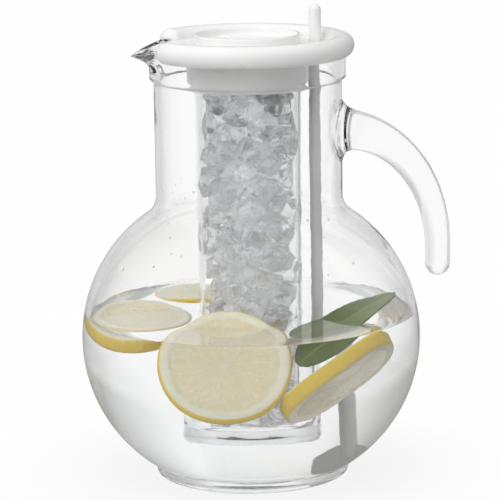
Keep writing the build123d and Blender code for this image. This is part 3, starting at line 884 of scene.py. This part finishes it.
WALL_MENISCUS_WIDTH = 0.0045
WALL_MENISCUS_SHARES = (0.06, 0.14, 0.24, 0.36, 0.5, 0.68, 1.0)
TUBE_MENISCUS_WIDTH = 0.003
TUBE_MENISCUS_RISE = 0.6
TUBE_MENISCUS_SHARES = (0.5, 0.75, 0.9, 1.0)
DROPLET_SEED = 7
DROPLET_LOWEST = 0.008
DROPLET_SPREAD = 0.06
DROPLET_SPREAD_POWER = 1.4
DROPLET_SMALLEST = 0.35
DROPLET_FLATNESS = 0.5
DROPLET_STRETCH = 0.5
SLOPE_STEP = 0.001


def tube_slope(tube):
    """How much the tube's radius grows with its height."""
    return (tube.top_radius - tube.bottom_radius) / (tube.top - tube.bottom)


def tube_radius_at(tube, height):
    """Outer radius of the tube at a height."""
    return tube.bottom_radius + tube_slope(tube) * (height - tube.bottom)


class PITCHER_OT_water(Operator):
    """Build the water, up to its line and round the ice tube"""

    bl_idname = "pitcher.water"
    bl_label = "Water"

    def execute(self, context):
        jug = context.scene.pitcher_jug
        tube = context.scene.pitcher_tube
        drink = context.scene.pitcher_drink
        centre = belly_centre(jug)
        inside = jug.belly_arc - jug.wall + drink.overlap
        floor_radius, floor_height, low = inner_floor(jug)
        high = math.asin((drink.level + drink.meniscus - jug.belly_height) / inside)
        wall = centre + inside * math.cos(high)
        tube_radius = tube_radius_at(tube, drink.level) - drink.overlap
        base_radius = tube.bottom_radius - drink.overlap
        round_radius = tube.fillet - drink.overlap
        outline = Outline(0, jug.floor - drink.overlap)
        outline.line(floor_radius, jug.floor - drink.overlap, 3)
        outline.arc(floor_radius, floor_height, low + QUARTER, 8)
        outline.arc(centre, jug.belly_height, high - low, 40)
        for share in WALL_MENISCUS_SHARES:
            rise = drink.meniscus * (1 - share) ** 3
            outline.line(wall - WALL_MENISCUS_WIDTH * share, drink.level + rise)
        outline.line(tube_radius + TUBE_MENISCUS_WIDTH, drink.level, 6)
        for share in TUBE_MENISCUS_SHARES:
            rise = TUBE_MENISCUS_RISE * drink.meniscus * share**3
            outline.line(tube_radius + TUBE_MENISCUS_WIDTH * (1 - share), drink.level + rise)
        outline.line(base_radius, tube.bottom + tube.fillet, 6)
        outline.arc(base_radius - round_radius, tube.bottom + tube.fillet, -QUARTER, 6)
        outline.line(0, tube.bottom + drink.overlap, 3)
        piece = bare_object(outline.spun(128), "drink")
        finish_piece(piece, "jug", ["water"], [drink_water()], 40.0)
        return {"FINISHED"}


class PITCHER_OT_droplets(Operator):
    """Scatter droplets on the inside of the glass above the water"""

    bl_idname = "pitcher.droplets"
    bl_label = "Droplets"

    def execute(self, context):
        jug = context.scene.pitcher_jug
        drink = context.scene.pitcher_drink
        chance = random.Random(DROPLET_SEED)
        bm = bmesh.new()
        for _ in range(drink.droplets):
            bearing = 2 * math.pi * chance.random()
            rise = DROPLET_SPREAD * chance.random() ** DROPLET_SPREAD_POWER
            height = drink.level + DROPLET_LOWEST + rise
            swell = DROPLET_SMALLEST + (1 - DROPLET_SMALLEST) * chance.random() ** 2
            size = drink.droplet_radius * swell
            radius = inner_radius_at(jug, height)
            slope = (inner_radius_at(jug, height + SLOPE_STEP) - radius) / SLOPE_STEP
            inward = Vector((-1, 0, slope)).normalized()
            tilt = inward.to_track_quat("Z", "Y").to_matrix().to_4x4()
            place = Matrix.Rotation(bearing, 4, "Z") @ Matrix.Translation((radius, 0, height)) @ tilt
            tall = size * (1.0 + DROPLET_STRETCH * chance.random())
            scale = Matrix.Diagonal((size, tall, size * DROPLET_FLATNESS, 1.0))
            bmesh.ops.create_uvsphere(bm, u_segments=10, v_segments=7, radius=1.0, matrix=place @ scale)
        piece = bare_object(bm, "wall_droplets")
        finish_piece(piece, "jug", [], [bpy.data.materials["drink_water"]], 80.0)
        return {"FINISHED"}


# Ice tube and ice

LUGS = 3
LUG_DROP = 0.0109
LUG_REACH = 0.0015
LUG_HEIGHT = 0.003
LUG_ARC = math.radians(16)
SEED_CHANCE = 21
SEED_SHARES = (0.12, 0.74, 0.3)
SEED_JITTER = 0.6
LUMP_CHANCE = 5
LUMP_BLANK = 0.07
LUMP_NEIGHBOURS = 0.05
LUMP_GAP = (0.2, 0.6)
LUMP_SPREAD = (0.80, 0.13)
LUMP_KNOCKS = 7
KNOCK_DEPTH = (0.68, 0.24)
PRESSED_SIDES = 24
LOOSE_SIDES = 10
SIDE_JITTER = 0.4
LUMP_MELT = 0.0006
SHORTEST_EDGE = 0.0004
CLEAR_SHARE = 0.98
CLOUDY_SHARE = 0.4


class PITCHER_OT_ice_tube(Operator):
    """Build the clear tube with its thick base and its lugs"""

    bl_idname = "pitcher.ice_tube"
    bl_label = "Ice tube"

    def execute(self, context):
        tube = context.scene.pitcher_tube
        lean = math.atan(tube_slope(tube))
        lip = tube.wall / 2
        floor = tube.bottom + tube.base
        inner_low = tube.bottom_radius - tube.wall
        outline = Outline(0, tube.bottom)
        outline.line(tube.bottom_radius - tube.fillet, tube.bottom, 4)
        outline.arc(tube.bottom_radius - tube.fillet, tube.bottom + tube.fillet, QUARTER - lean, 8)
        outline.line(tube.top_radius, tube.top - lip, 24)
        outline.arc(tube.top_radius - lip, tube.top - lip, 2 * QUARTER, 8)
        outline.line(inner_low, floor + tube.fillet, 24)
        outline.arc(inner_low - tube.fillet, floor + tube.fillet, -QUARTER, 6)
        outline.line(0, floor, 4)
        bm = outline.spun(96)
        inner, outer = tube.top_radius - lip, tube.top_radius + LUG_REACH
        bottom = tube.top - LUG_DROP
        for lug in range(LUGS):
            block = Outline(inner, bottom)
            block.lines((outer, bottom), (outer, bottom + LUG_HEIGHT), (inner, bottom + LUG_HEIGHT))
            lug_bm = block.close().bm
            profile = lug_bm.edges[:]
            bmesh.ops.edgeloop_fill(lug_bm, edges=profile)
            move(lug_bm, Matrix.Rotation(2 * math.pi * lug / LUGS - LUG_ARC / 2, 4, "Z"))
            swept = spin(lug_bm, profile, LUG_ARC, 6)
            bmesh.ops.edgeloop_fill(lug_bm, edges=only_edges(swept["geom_last"]))
            face_outwards(lug_bm)
            append_mesh(bm, lug_bm)
        piece = bare_object(bm, "clear_tube")
        finish_piece(piece, "tube", ["ice_tube"], [clear_plastic()], 40.0)
        return {"FINISHED"}


def draw(chance, least, spread):
    """A share drawn by chance, from the least upwards."""
    return least + spread * chance.random()


def chop(bm, point, normal):
    """Cuts off what lies beyond a plane and closes the cut."""
    everything = bm.verts[:] + bm.edges[:] + bm.faces[:]
    cut = bmesh.ops.bisect_plane(bm, geom=everything, plane_co=point, plane_no=normal, clear_outer=True)
    edges = only_edges(cut["geom_cut"])
    if edges:
        bmesh.ops.edgeloop_fill(bm, edges=edges)


def ice_seeds(tube, bottom, top):
    """Middles of the lumps, spread up the tube by the golden angle."""
    chance = random.Random(SEED_CHANCE)
    least, spread, first = SEED_SHARES
    seeds = []
    for number in range(tube.lumps):
        bearing = number * GOLDEN_ANGLE
        reach = tube.ice_radius * (least + spread * math.sqrt((number * GOLDEN_SHARE + first) % 1.0))
        place = number + 0.5 + SEED_JITTER * (chance.random() - 0.5)
        height = bottom + (top - bottom) * place / tube.lumps
        seeds.append(Vector((reach * math.cos(bearing), reach * math.sin(bearing), height)))
    return seeds


def ice_lump(tube, seeds, seed, chance, bottom, top):
    """One broken lump: the room nearest to its seed, with corners knocked off and edges melted."""
    bm = bmesh.new()
    bmesh.ops.create_cube(bm, size=LUMP_BLANK, matrix=Matrix.Translation(seed))
    for other in seeds:
        apart = other - seed
        if 0 < apart.length < LUMP_NEIGHBOURS:
            half = apart.length / 2 - tube.gap * draw(chance, *LUMP_GAP)
            chop(bm, seed + apart.normalized() * half, apart.normalized())
    wall = tube_radius_at(tube, seed.z) - tube.wall
    pressed = chance.random() < tube.ice_pressed and seed.z > bottom + tube.ice_radius / 2
    sides = PRESSED_SIDES if pressed else LOOSE_SIDES
    spread = wall if pressed else wall * draw(chance, *LUMP_SPREAD)
    for side in range(sides):
        bearing = 2 * math.pi * (side + chance.random() * SIDE_JITTER) / sides
        outward = Vector((math.cos(bearing), math.sin(bearing), 0))
        chop(bm, outward * spread, outward)
    for height, way in ((bottom, -1), (top, 1)):
        chop(bm, Vector((0, 0, height)), Vector((0, 0, way)))
    for _ in range(LUMP_KNOCKS):
        direction = Vector((chance.gauss(0, 1), chance.gauss(0, 1), chance.gauss(0, 1))).normalized()
        far = max((vert.co - seed).dot(direction) for vert in bm.verts)
        chop(bm, seed + direction * far * draw(chance, *KNOCK_DEPTH), direction)
    bmesh.ops.remove_doubles(bm, verts=bm.verts[:], dist=LUMP_MELT)
    bmesh.ops.dissolve_degenerate(bm, edges=bm.edges[:], dist=SHORTEST_EDGE)
    bmesh.ops.bevel(
        bm,
        geom=bm.edges[:],
        offset=LUMP_MELT,
        offset_type="OFFSET",
        segments=1,
        profile=0.5,
        affect="EDGES",
        clamp_overlap=True,
        material=-1,
    )
    bmesh.ops.triangulate(bm, faces=bm.faces[:])
    bmesh.ops.subdivide_edges(bm, edges=bm.edges[:], cuts=1)
    face_outwards(bm)
    bm.normal_update()
    for vert in bm.verts:
        vert.co += vert.normal * tube.ice_chips * noise.noise(vert.co * tube.ice_chip_scale)
    return bm


class PITCHER_OT_ice(Operator):
    """Break ice into lumps that fill the tube"""

    bl_idname = "pitcher.ice"
    bl_label = "Broken ice"

    def execute(self, context):
        tube = context.scene.pitcher_tube
        chance = random.Random(LUMP_CHANCE)
        bottom, top = ICE_LOW.z, ICE_HIGH.z
        seeds = ice_seeds(tube, bottom, top)
        bm = bmesh.new()
        for seed in seeds:
            lump = ice_lump(tube, seeds, seed, chance, bottom, top)
            for face in lump.faces:
                face.material_index = 1 if seed.xy.length < tube.ice_heart else 0
            append_mesh(bm, lump)
        piece = bare_object(bm, "crushed_ice")
        materials = [broken_ice("clear_ice", CLEAR_SHARE), broken_ice("cloudy_ice", CLOUDY_SHARE)]
        finish_piece(piece, "tube", ["ice_lumps"], materials, 25.0)
        return {"FINISHED"}


# Lid, cap and stirrer

LID_EDGE = 0.0005
SOCKET_CLEARANCE = 0.0003
RIM_CLEARANCE = 0.0001
BEAD_LIP = 0.0017
CAP_EDGE = 0.0007
CAP_FILLET = 0.0014
CAP_PLUG_WALL = 0.0016
ROD_IN_PADDLE = 0.75
PADDLE_FOOT = 0.007
PADDLE_NECK = 0.004
PADDLE_SIDE_LOW = 0.0065
PADDLE_SIDE_HIGH = 0.0145
PADDLE_CORNER = 0.002
PADDLE_EDGE = 0.0006
PADDLE_SHARP = math.radians(60)


def lid_disc(lid):
    """Sunk floor with its fill hole, plug skirt and tube socket."""
    edge = LID_EDGE
    floor_bottom = lid.floor_top - lid.floor
    skirt_bottom = floor_bottom - lid.skirt_drop
    skirt_inner = lid.skirt_radius - lid.skirt_wall
    socket_bottom = LID_LOW.z
    bore = TUBE_HIGH.y + SOCKET_CLEARANCE
    outline = Outline(lid.hole_radius, floor_bottom)
    outline.line(lid.hole_radius, lid.floor_top - edge)
    outline.arc(lid.hole_radius + edge, lid.floor_top - edge, -QUARTER, 3)
    outline.line(lid.skirt_radius - edge, lid.floor_top, 6)
    outline.arc(lid.skirt_radius - edge, lid.floor_top - edge, -QUARTER, 3)
    outline.line(lid.skirt_radius, skirt_bottom + edge)
    outline.arc(lid.skirt_radius - edge, skirt_bottom + edge, -QUARTER, 3)
    outline.lines((skirt_inner, skirt_bottom), (skirt_inner, floor_bottom))
    outline.line(lid.socket_radius + 2 * edge, floor_bottom, 2)
    outline.arc(lid.socket_radius + 2 * edge, floor_bottom - 2 * edge, QUARTER, 4)
    outline.line(lid.socket_radius, socket_bottom + lid.socket_chamfer, 2)
    outline.line(lid.socket_radius - lid.socket_chamfer, socket_bottom)
    outline.lines((bore, socket_bottom), (bore, floor_bottom))
    return outline.close().spun(128)


def lid_bead(lid):
    """Rolled bead over the rim, open at the spout, with domed ends."""
    skirt_inner = lid.skirt_radius - lid.skirt_wall
    inner_round = lid.top - lid.floor_top
    outer_centre = lid.radius - lid.bead_half
    middle = lid.top - lid.bead_half
    channel = JUG_HIGH.z + RIM_CLEARANCE
    collar = outer_centre + BEAD_LIP
    low = math.acos((collar - outer_centre) / lid.bead_half)
    hidden = lid.skirt_radius - lid.skirt_wall / 2
    half_floor = lid.floor_top - lid.floor / 2
    outline = Outline(skirt_inner, lid.floor_top)
    outline.arc(skirt_inner + inner_round, lid.floor_top, -QUARTER, 10)
    outline.line(outer_centre, lid.top, 2)
    outline.arc(outer_centre, middle, -QUARTER - low, 20)
    outline.lines((collar, channel), (hidden, channel), (hidden, half_floor), (skirt_inner, half_floor))
    bm = outline.close().bm
    profile = bm.edges[:]
    middle_radius = (skirt_inner + lid.radius) / 2
    trim = lid.notch_half_angle + lid.bead_half / middle_radius
    start = math.pi + trim
    turn = 2 * math.pi - 2 * trim
    move(bm, Matrix.Rotation(start, 4, "Z"))
    swept = spin(bm, profile, turn, 110)
    for ring, bearing, way in ((profile, start, -1), (only_edges(swept["geom_last"]), start + turn, 1)):
        outward = Vector((math.cos(bearing), math.sin(bearing), 0))
        ahead = way * Vector((-outward.y, outward.x, 0))
        centre = outward * middle_radius + Vector((0, 0, middle))
        round_end(bm, ring, centre, ahead, lid.bead_half, 8)
    face_outwards(bm)
    return bm


class PITCHER_OT_lid(Operator):
    """Build the white lid with its bead, floor and socket"""

    bl_idname = "pitcher.lid"
    bl_label = "Lid"

    def execute(self, context):
        lid = context.scene.pitcher_lid
        piece = bare_object(lid_disc(lid), "white_lid")
        top, bottom = lid.floor_top + lid.floor, lid.floor_top - 2 * lid.floor
        drill = Outline(0, top).lines((lid.rod_hole, top), (lid.rod_hole, bottom), (0, bottom))
        hole = drill.spun(32)
        bmesh.ops.translate(hole, vec=(*lid.rod_place, 0), verts=hole.verts[:])
        combine(piece, bare_object(hole, "rod_drill"), "DIFFERENCE")
        bm = bmesh.new()
        bm.from_mesh(piece.data)
        append_mesh(bm, lid_bead(lid))
        bm.to_mesh(piece.data)
        bm.free()
        material = white_plastic("lid_white", lid.white)
        finish_piece(piece, "lid", ["lid"], [material], 35.0)
        return {"FINISHED"}


class PITCHER_OT_filler_cap(Operator):
    """Build the dished cap of the fill hole"""

    bl_idname = "pitcher.filler_cap"
    bl_label = "Filler cap"

    def execute(self, context):
        lid = context.scene.pitcher_lid
        edge, fillet = CAP_EDGE, CAP_FILLET
        base, top = lid.floor_top, CAP_HIGH.z
        inner = lid.cap_radius - lid.cap_wall
        plug_inner = lid.cap_plug - CAP_PLUG_WALL
        dish = base + lid.cap_dish
        outline = Outline(0, dish)
        outline.line(inner - fillet, dish, 6)
        outline.arc(inner - fillet, dish + fillet, QUARTER, 5)
        outline.line(inner, top - edge)
        outline.arc(inner + edge, top - edge, -QUARTER, 4)
        outline.line(lid.cap_radius - edge, top)
        outline.arc(lid.cap_radius - edge, top - edge, -QUARTER, 4)
        outline.lines((lid.cap_radius, base + edge / 2), (lid.cap_radius - edge / 2, base))
        outline.lines((lid.cap_plug, base), (lid.cap_plug, CAP_LOW.z))
        outline.lines((plug_inner, CAP_LOW.z), (plug_inner, base))
        outline.line(0, base, 3)
        piece = bare_object(outline.spun(128), "cap_dish")
        material = white_plastic("cap_white", lid.white)
        finish_piece(piece, "cap", ["filler_cap"], [material], 35.0)
        return {"FINISHED"}


def paddle_blade(lid):
    """Spade-shaped blade at the foot of the rod."""
    bottom = STIRRER_LOW.z
    half = (STIRRER_HIGH.x - STIRRER_LOW.x) / 2
    corners = (
        (PADDLE_FOOT, bottom),
        (half, bottom + PADDLE_SIDE_LOW),
        (half, bottom + PADDLE_SIDE_HIGH),
        (PADDLE_NECK, bottom + lid.paddle_height),
    )
    bm = bmesh.new()
    outline = [bm.verts.new((across, 0, height)) for across, height in corners]
    outline += [bm.verts.new((-across, 0, height)) for across, height in reversed(corners)]
    bm.faces.new(outline)
    shape = {"profile": 0.5, "material": -1}
    bmesh.ops.bevel(bm, geom=outline, offset=PADDLE_CORNER, segments=5, affect="VERTICES", **shape)
    back = Vector((0, lid.paddle_thickness / 2, 0))
    bmesh.ops.translate(bm, vec=Vector((*lid.rod_place, 0)) + back, verts=bm.verts[:])
    grown = bmesh.ops.extrude_face_region(bm, geom=bm.faces[:], use_keep_orig=True)["geom"]
    bmesh.ops.translate(bm, vec=-2 * back, verts=only_verts(grown))
    face_outwards(bm)
    sharp = [edge for edge in bm.edges if edge.calc_face_angle(0.0) > PADDLE_SHARP]
    bmesh.ops.bevel(bm, geom=sharp, offset=PADDLE_EDGE, segments=3, affect="EDGES", **shape)
    return bm


class PITCHER_OT_stirrer(Operator):
    """Build the stirrer's rod and paddle"""

    bl_idname = "pitcher.stirrer"
    bl_label = "Stirrer"

    def execute(self, context):
        lid = context.scene.pitcher_lid
        top = STIRRER_HIGH.z
        low = STIRRER_LOW.z + ROD_IN_PADDLE * lid.paddle_height
        outline = Outline(0, top)
        outline.arc(0, top - lid.rod_radius, -QUARTER, 8)
        outline.line(lid.rod_radius, low, 12)
        outline.line(0, low)
        bm = outline.spun(40)
        bmesh.ops.translate(bm, vec=(*lid.rod_place, 0), verts=bm.verts[:])
        append_mesh(bm, paddle_blade(lid))
        piece = bare_object(bm, "stirring_rod")
        material = white_plastic("stirrer_white", lid.white)
        finish_piece(piece, "stirrer", ["stirrer"], [material], 35.0)
        return {"FINISHED"}


# Lemon slices and leaf

FLESH_SINK = 0.0005
FLESH_EDGE = 2.4
FLESH_LEDGE = 1.6
LEDGE_SINK = 0.3
RIND_FROM = 0.6
SLICE_WARP = 0.0004
SLICE_ROUND = 0.985
SLICE_OVAL = 0.010
SLICE_BUMPS = 0.005
LEAF_END = 0.02
LEAF_POINT = 0.985
LEAF_BLUNTNESS = 2.6
LEAF_FOLD = 0.10
LEAF_RIPPLE = 0.0004
LEAF_THICKNESS = 0.0008


def lemon_slice(drink, node, facing, radius, thickness, turn, stretch):
    """Slice on its own round map, in the place of its node."""
    low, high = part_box(node)
    half = thickness / 2
    edge = drink.rind_round
    flesh, ledge = radius - FLESH_EDGE * edge, radius - FLESH_LEDGE * edge
    outline = Outline(0, half - FLESH_SINK)
    outline.line(flesh, half - FLESH_SINK, 10)
    outline.line(ledge, half - LEDGE_SINK * FLESH_SINK, 2)
    outline.line(radius - edge, half)
    outline.arc(radius - edge, half - edge, -QUARTER, 5)
    outline.line(radius, edge - half, 2)
    outline.arc(radius - edge, edge - half, -QUARTER, 5)
    outline.line(ledge, LEDGE_SINK * FLESH_SINK - half)
    outline.line(flesh, FLESH_SINK - half, 2)
    outline.line(0, FLESH_SINK - half, 10)
    bm = outline.spun(96)
    layer = bm.loops.layers.uv.new("slice")
    for face in bm.faces:
        reach = face.calc_center_median().xy.length
        face.material_index = 1 if reach > radius - RIND_FROM * edge else 0
        for loop in face.loops:
            loop[layer].uv = (0.5 + 0.5 * loop.vert.co.x / radius, 0.5 + 0.5 * loop.vert.co.y / radius)
    for vert in bm.verts:
        bearing = math.atan2(vert.co.y, vert.co.x) + turn
        swell = SLICE_ROUND + SLICE_OVAL * math.sin(2 * bearing)
        vert.co.xy *= swell + SLICE_BUMPS * math.sin(5 * bearing)
        vert.co.z += SLICE_WARP * math.sin(3 * bearing) * vert.co.xy.length / radius
    tilt = Vector(facing).to_track_quat("Z", "Y").to_matrix().to_4x4()
    oval = Matrix.Diagonal((stretch, 1, 1, 1)) @ Matrix.Rotation(turn, 4, "Z")
    place = Matrix.Translation((low + high) / 2) @ tilt
    move(bm, place @ oval)
    return bm


class PITCHER_OT_lemon(Operator):
    """Cut the lemon slices that float in the water"""

    bl_idname = "pitcher.lemon"
    bl_label = "Lemon slices"

    def execute(self, context):
        drink = context.scene.pitcher_drink
        materials = [lemon_flesh(drink.flesh_colour), lemon_rind(drink.rind_colour)]
        slices = (
            ("front", (0.0, -0.8, 0.6), 0.02865, 0.0056, 0.4, 1.05),
            ("left", (0.12, -0.20, 0.97), 0.02525, 0.007, 1.1, 1.0),
            ("right", (0.545, -0.26, -0.80), 0.02965, 0.0085, 2.0, 1.0),
            ("back", (-0.05, 0.1, 0.99), 0.02535, 0.0065, 2.7, 1.0),
        )
        for name, facing, radius, thickness, turn, stretch in slices:
            node = f"lemon_slice_{name}"
            bm = lemon_slice(drink, node, facing, radius, thickness, turn, stretch)
            piece = bare_object(bm, f"lemon_{name}")
            finish_piece(piece, "jug", [node], materials, 50.0)
        return {"FINISHED"}


class PITCHER_OT_leaf(Operator):
    """Bend the leaf that floats beside the stirrer"""

    bl_idname = "pitcher.leaf"
    bl_label = "Leaf"

    def execute(self, context):
        drink = context.scene.pitcher_drink
        base = Vector(drink.leaf_base)
        run = Vector(drink.leaf_tip) - base
        length = run.length
        half_width = drink.leaf_width / 2
        bm = bmesh.new()
        bmesh.ops.create_grid(bm, x_segments=36, y_segments=14, size=0.5)
        layer = bm.loops.layers.uv.new("leaf")
        for face in bm.faces:
            for loop in face.loops:
                loop[layer].uv = (loop.vert.co.x + 0.5, loop.vert.co.y + 0.5)
        for vert in bm.verts:
            share, side = vert.co.x + 0.5, 2 * vert.co.y
            along = LEAF_END * length + (1 - 2 * LEAF_END) * length * share
            reach = half_width * math.sqrt(1.0 - LEAF_POINT * abs(2 * share - 1) ** LEAF_BLUNTNESS)
            across = side * reach
            bow = math.sqrt(drink.leaf_bow**2 - (along - length / 2) ** 2) - drink.leaf_bow
            fold = LEAF_FOLD * abs(across) - LEAF_FOLD * half_width * 0.5
            ripple = LEAF_RIPPLE * math.sin(9 * share + 2.0) * side**2
            twist = Quaternion((1, 0, 0), drink.leaf_twist * share)
            vert.co = twist @ Vector((along, across, fold + ripple)) + Vector((0, 0, bow))
        face_outwards(bm)
        bmesh.ops.solidify(bm, geom=bm.faces[:], thickness=LEAF_THICKNESS)
        ahead = run.normalized()
        upright = run.cross(Vector((0, 0, 1))).cross(run).normalized()
        upright = Quaternion(ahead, drink.leaf_roll) @ upright
        move(bm, axes_matrix(ahead, upright.cross(ahead), upright, base))
        face_outwards(bm)
        piece = bare_object(bm, "floating_leaf")
        finish_piece(piece, "jug", ["leaf"], [waxy_leaf(drink.leaf_colour)], 60.0)
        return {"FINISHED"}


# Stage

FLOOR_SIZE = 8.0
FLOOR_CORNERS = 0.78
SENSOR_WIDTH = 36.0


def put_corners(tree, vector):
    """How far a direction turns from the four sides of the studio to its corners, from 0 to 1."""
    flat = put_vector(tree, "MULTIPLY", vector, (1, 1, 0))["Vector"]
    unit = put_vector(tree, "NORMALIZE", flat)["Vector"]
    split = put(tree, "SeparateXYZ", {"Vector": unit}).outputs
    sides = put_maths(tree, "ABSOLUTE", put_maths(tree, "MULTIPLY", split["X"], split["Y"]))
    return put_range(tree, sides, 0.26, 0.49, smooth=False)


def put_rays(tree, dusk):
    """What sent a ray, whether that was gloss or glass, and the share of the studio that gloss shows."""
    path = put(tree, "LightPath").outputs
    gleam = put_maths(tree, "MAXIMUM", path["Is Glossy Ray"], path["Is Transmission Ray"])
    return path, gleam, put_range(tree, path["Is Reflection Ray"], 0.0, 1.0, 1.0, dusk)


def stage_floor(table, dusk):
    """White floor that shows white to camera and glass and keeps the jug's shadow near its foot."""
    material, tree = new_material("stage_floor")
    place = put(tree, "TexCoord").outputs["Object"]
    distance = put_vector(tree, "LENGTH", place)["Value"]
    path, gleam, gloss = put_rays(tree, dusk)
    away = put_range(tree, distance, 0.05, 0.15, 0.86, 0.985)
    far = put_range(tree, distance, 0.25, 0.60)
    shade = put_maths(tree, "MULTIPLY", far, put_corners(tree, place))
    shown = put_range(tree, shade, 0.0, 1.0, table, FLOOR_CORNERS * table, smooth=False)
    shown = put_maths(tree, "MAXIMUM", shown, path["Is Camera Ray"])
    strength = put_maths(tree, "MULTIPLY", shown, gloss)
    seen = put_maths(tree, "MULTIPLY", path["Is Camera Ray"], away)
    share = put_maths(tree, "MAXIMUM", seen, gleam)
    lit = put(tree, "BsdfDiffuse", {"Color": (0.6, 0.6, 0.6)}).outputs["BSDF"]
    white = put(tree, "Emission", {"Color": WHITE, "Strength": strength}).outputs["Emission"]
    return finish_material(material, Surface=put_blend(tree, share, lit, white))


def stage_world(ambient, sky, dusk):
    """White studio: white to the camera, white panels and grey corners to glass, and even as a light."""
    world = bpy.data.worlds.new("studio")
    world.use_nodes = True
    tree = world.node_tree
    tree.nodes.clear()
    toward = put(tree, "TexCoord").outputs["Generated"]
    rise = put(tree, "SeparateXYZ", {"Vector": toward}).outputs["Z"]
    above = put_range(tree, rise, 0.0, 0.10, 0.4, 1.0)
    shade = put_maths(tree, "MULTIPLY", put_corners(tree, toward), above)
    crown = put_range(tree, shade, 0.0, 1.0, 1.0, sky, smooth=False)
    crown = put_maths(tree, "MAXIMUM", crown, put_range(tree, rise, 0.60, 0.85))
    path, gleam, gloss = put_rays(tree, dusk)
    first = put_maths(tree, "LESS_THAN", path["Diffuse Depth"], 0.5)
    camera, clear, light = (
        put(tree, "Background", {"Color": colour, "Strength": strength}).outputs["Background"]
        for colour, strength in ((WHITE, 1.0), (crown, gloss), (WHITE, ambient))
    )
    inner = put_blend(tree, put_maths(tree, "MULTIPLY", gleam, first), light, clear)
    outer = put_blend(tree, path["Is Camera Ray"], inner, camera)
    put(tree, "OutputWorld", {"Surface": outer})
    arrange(tree)
    return world


def add_lamp(name, place, aim, size, power, glints=False):
    """Soft square lamp that looks at a point and shows itself, if it glints, only in gloss."""
    data = bpy.data.lights.new(name, "AREA")
    data.size = size
    data.energy = power
    lamp = bpy.data.objects.new(name, data)
    lamp.location = place
    lamp.rotation_euler = (Vector(aim) - Vector(place)).to_track_quat("-Z", "Y").to_euler()
    lamp.visible_camera = False
    lamp.visible_transmission = False
    lamp.visible_glossy = glints
    bpy.context.scene.collection.objects.link(lamp)


class PITCHER_OT_stage(Operator):
    """Set up the floor, the light and the camera"""

    bl_idname = "pitcher.stage"
    bl_label = "Stage"

    def execute(self, context):
        stage = context.scene.pitcher_stage
        scene = context.scene
        bm = bmesh.new()
        bmesh.ops.create_grid(bm, x_segments=4, y_segments=4, size=FLOOR_SIZE)
        floor = bare_object(bm, "stage_floor")
        floor.data.materials.append(stage_floor(stage.table, stage.dusk))
        scene.world = stage_world(stage.ambient, stage.sky, stage.dusk)
        add_lamp("lamp_top", (-0.25, -0.15, 1.25), (0, 0, 0.15), 0.9, stage.top_power)
        add_lamp("lamp_front", (-0.9, -1.3, 0.9), (0, 0, 0.12), 0.8, stage.fill_power)
        add_lamp("lamp_glint", (-0.55, -0.6, 1.1), (0, 0, 0.12), 0.07, stage.glint_power, glints=True)
        aim = Vector((0, 0, stage.aim_height))
        back = Vector((0, -math.cos(stage.pitch), math.sin(stage.pitch)))
        data = bpy.data.cameras.new("camera")
        data.lens = stage.lens
        data.sensor_width = SENSOR_WIDTH
        camera = bpy.data.objects.new("camera", data)
        camera.location = aim + back * stage.distance
        look = (-back).to_track_quat("-Z", "Y") @ Quaternion((0, 0, 1), stage.roll)
        camera.rotation_euler = look.to_euler()
        scene.collection.objects.link(camera)
        scene.camera = camera
        scene.view_settings.view_transform = "Standard"
        scene.cycles.max_bounces = 40
        scene.cycles.transmission_bounces = 40
        scene.cycles.glossy_bounces = 16
        scene.cycles.transparent_max_bounces = 48
        scene.cycles.caustics_refractive = True
        scene.cycles.caustics_reflective = False
        return {"FINISHED"}


class PITCHER_PT_panel(Panel):
    """Pieces of the pitcher, in the order they are built"""

    bl_label = "Pitcher"
    bl_idname = "PITCHER_PT_panel"
    bl_space_type = "VIEW_3D"
    bl_region_type = "UI"
    bl_category = "Pitcher"

    def draw(self, context):
        for piece in PIECES:
            self.layout.operator(piece.bl_idname)
        for name in SETTINGS:
            settings = getattr(context.scene, name)
            box = self.layout.box()
            for key in settings.__annotations__:
                box.prop(settings, key)


SETTINGS = {
    "pitcher_jug": JugSizes,
    "pitcher_lid": LidSizes,
    "pitcher_tube": TubeSizes,
    "pitcher_drink": DrinkSizes,
    "pitcher_stage": StageSettings,
}
PIECES = (
    PITCHER_OT_jug,
    PITCHER_OT_water,
    PITCHER_OT_droplets,
    PITCHER_OT_ice_tube,
    PITCHER_OT_ice,
    PITCHER_OT_lid,
    PITCHER_OT_filler_cap,
    PITCHER_OT_stirrer,
    PITCHER_OT_lemon,
    PITCHER_OT_leaf,
    PITCHER_OT_stage,
)


def register():
    """Registers the settings, the operators and the panel."""
    for name, settings in SETTINGS.items():
        bpy.utils.register_class(settings)
        setattr(bpy.types.Scene, name, PointerProperty(type=settings))
    for piece in (*PIECES, PITCHER_PT_panel):
        bpy.utils.register_class(piece)


def unregister():
    """Takes away what register put in."""
    for piece in (PITCHER_PT_panel, *reversed(PIECES)):
        bpy.utils.unregister_class(piece)
    for name, settings in SETTINGS.items():
        delattr(bpy.types.Scene, name)
        bpy.utils.unregister_class(settings)


def main():
    """Registers the add-on, then builds every piece and the stage."""
    register()
    bpy.ops.pitcher.jug()
    bpy.ops.pitcher.water()
    bpy.ops.pitcher.droplets()
    bpy.ops.pitcher.ice_tube()
    bpy.ops.pitcher.ice()
    bpy.ops.pitcher.lid()
    bpy.ops.pitcher.filler_cap()
    bpy.ops.pitcher.stirrer()
    bpy.ops.pitcher.lemon()
    bpy.ops.pitcher.leaf()
    bpy.ops.pitcher.stage()


if __name__ == "__main__":
    main()
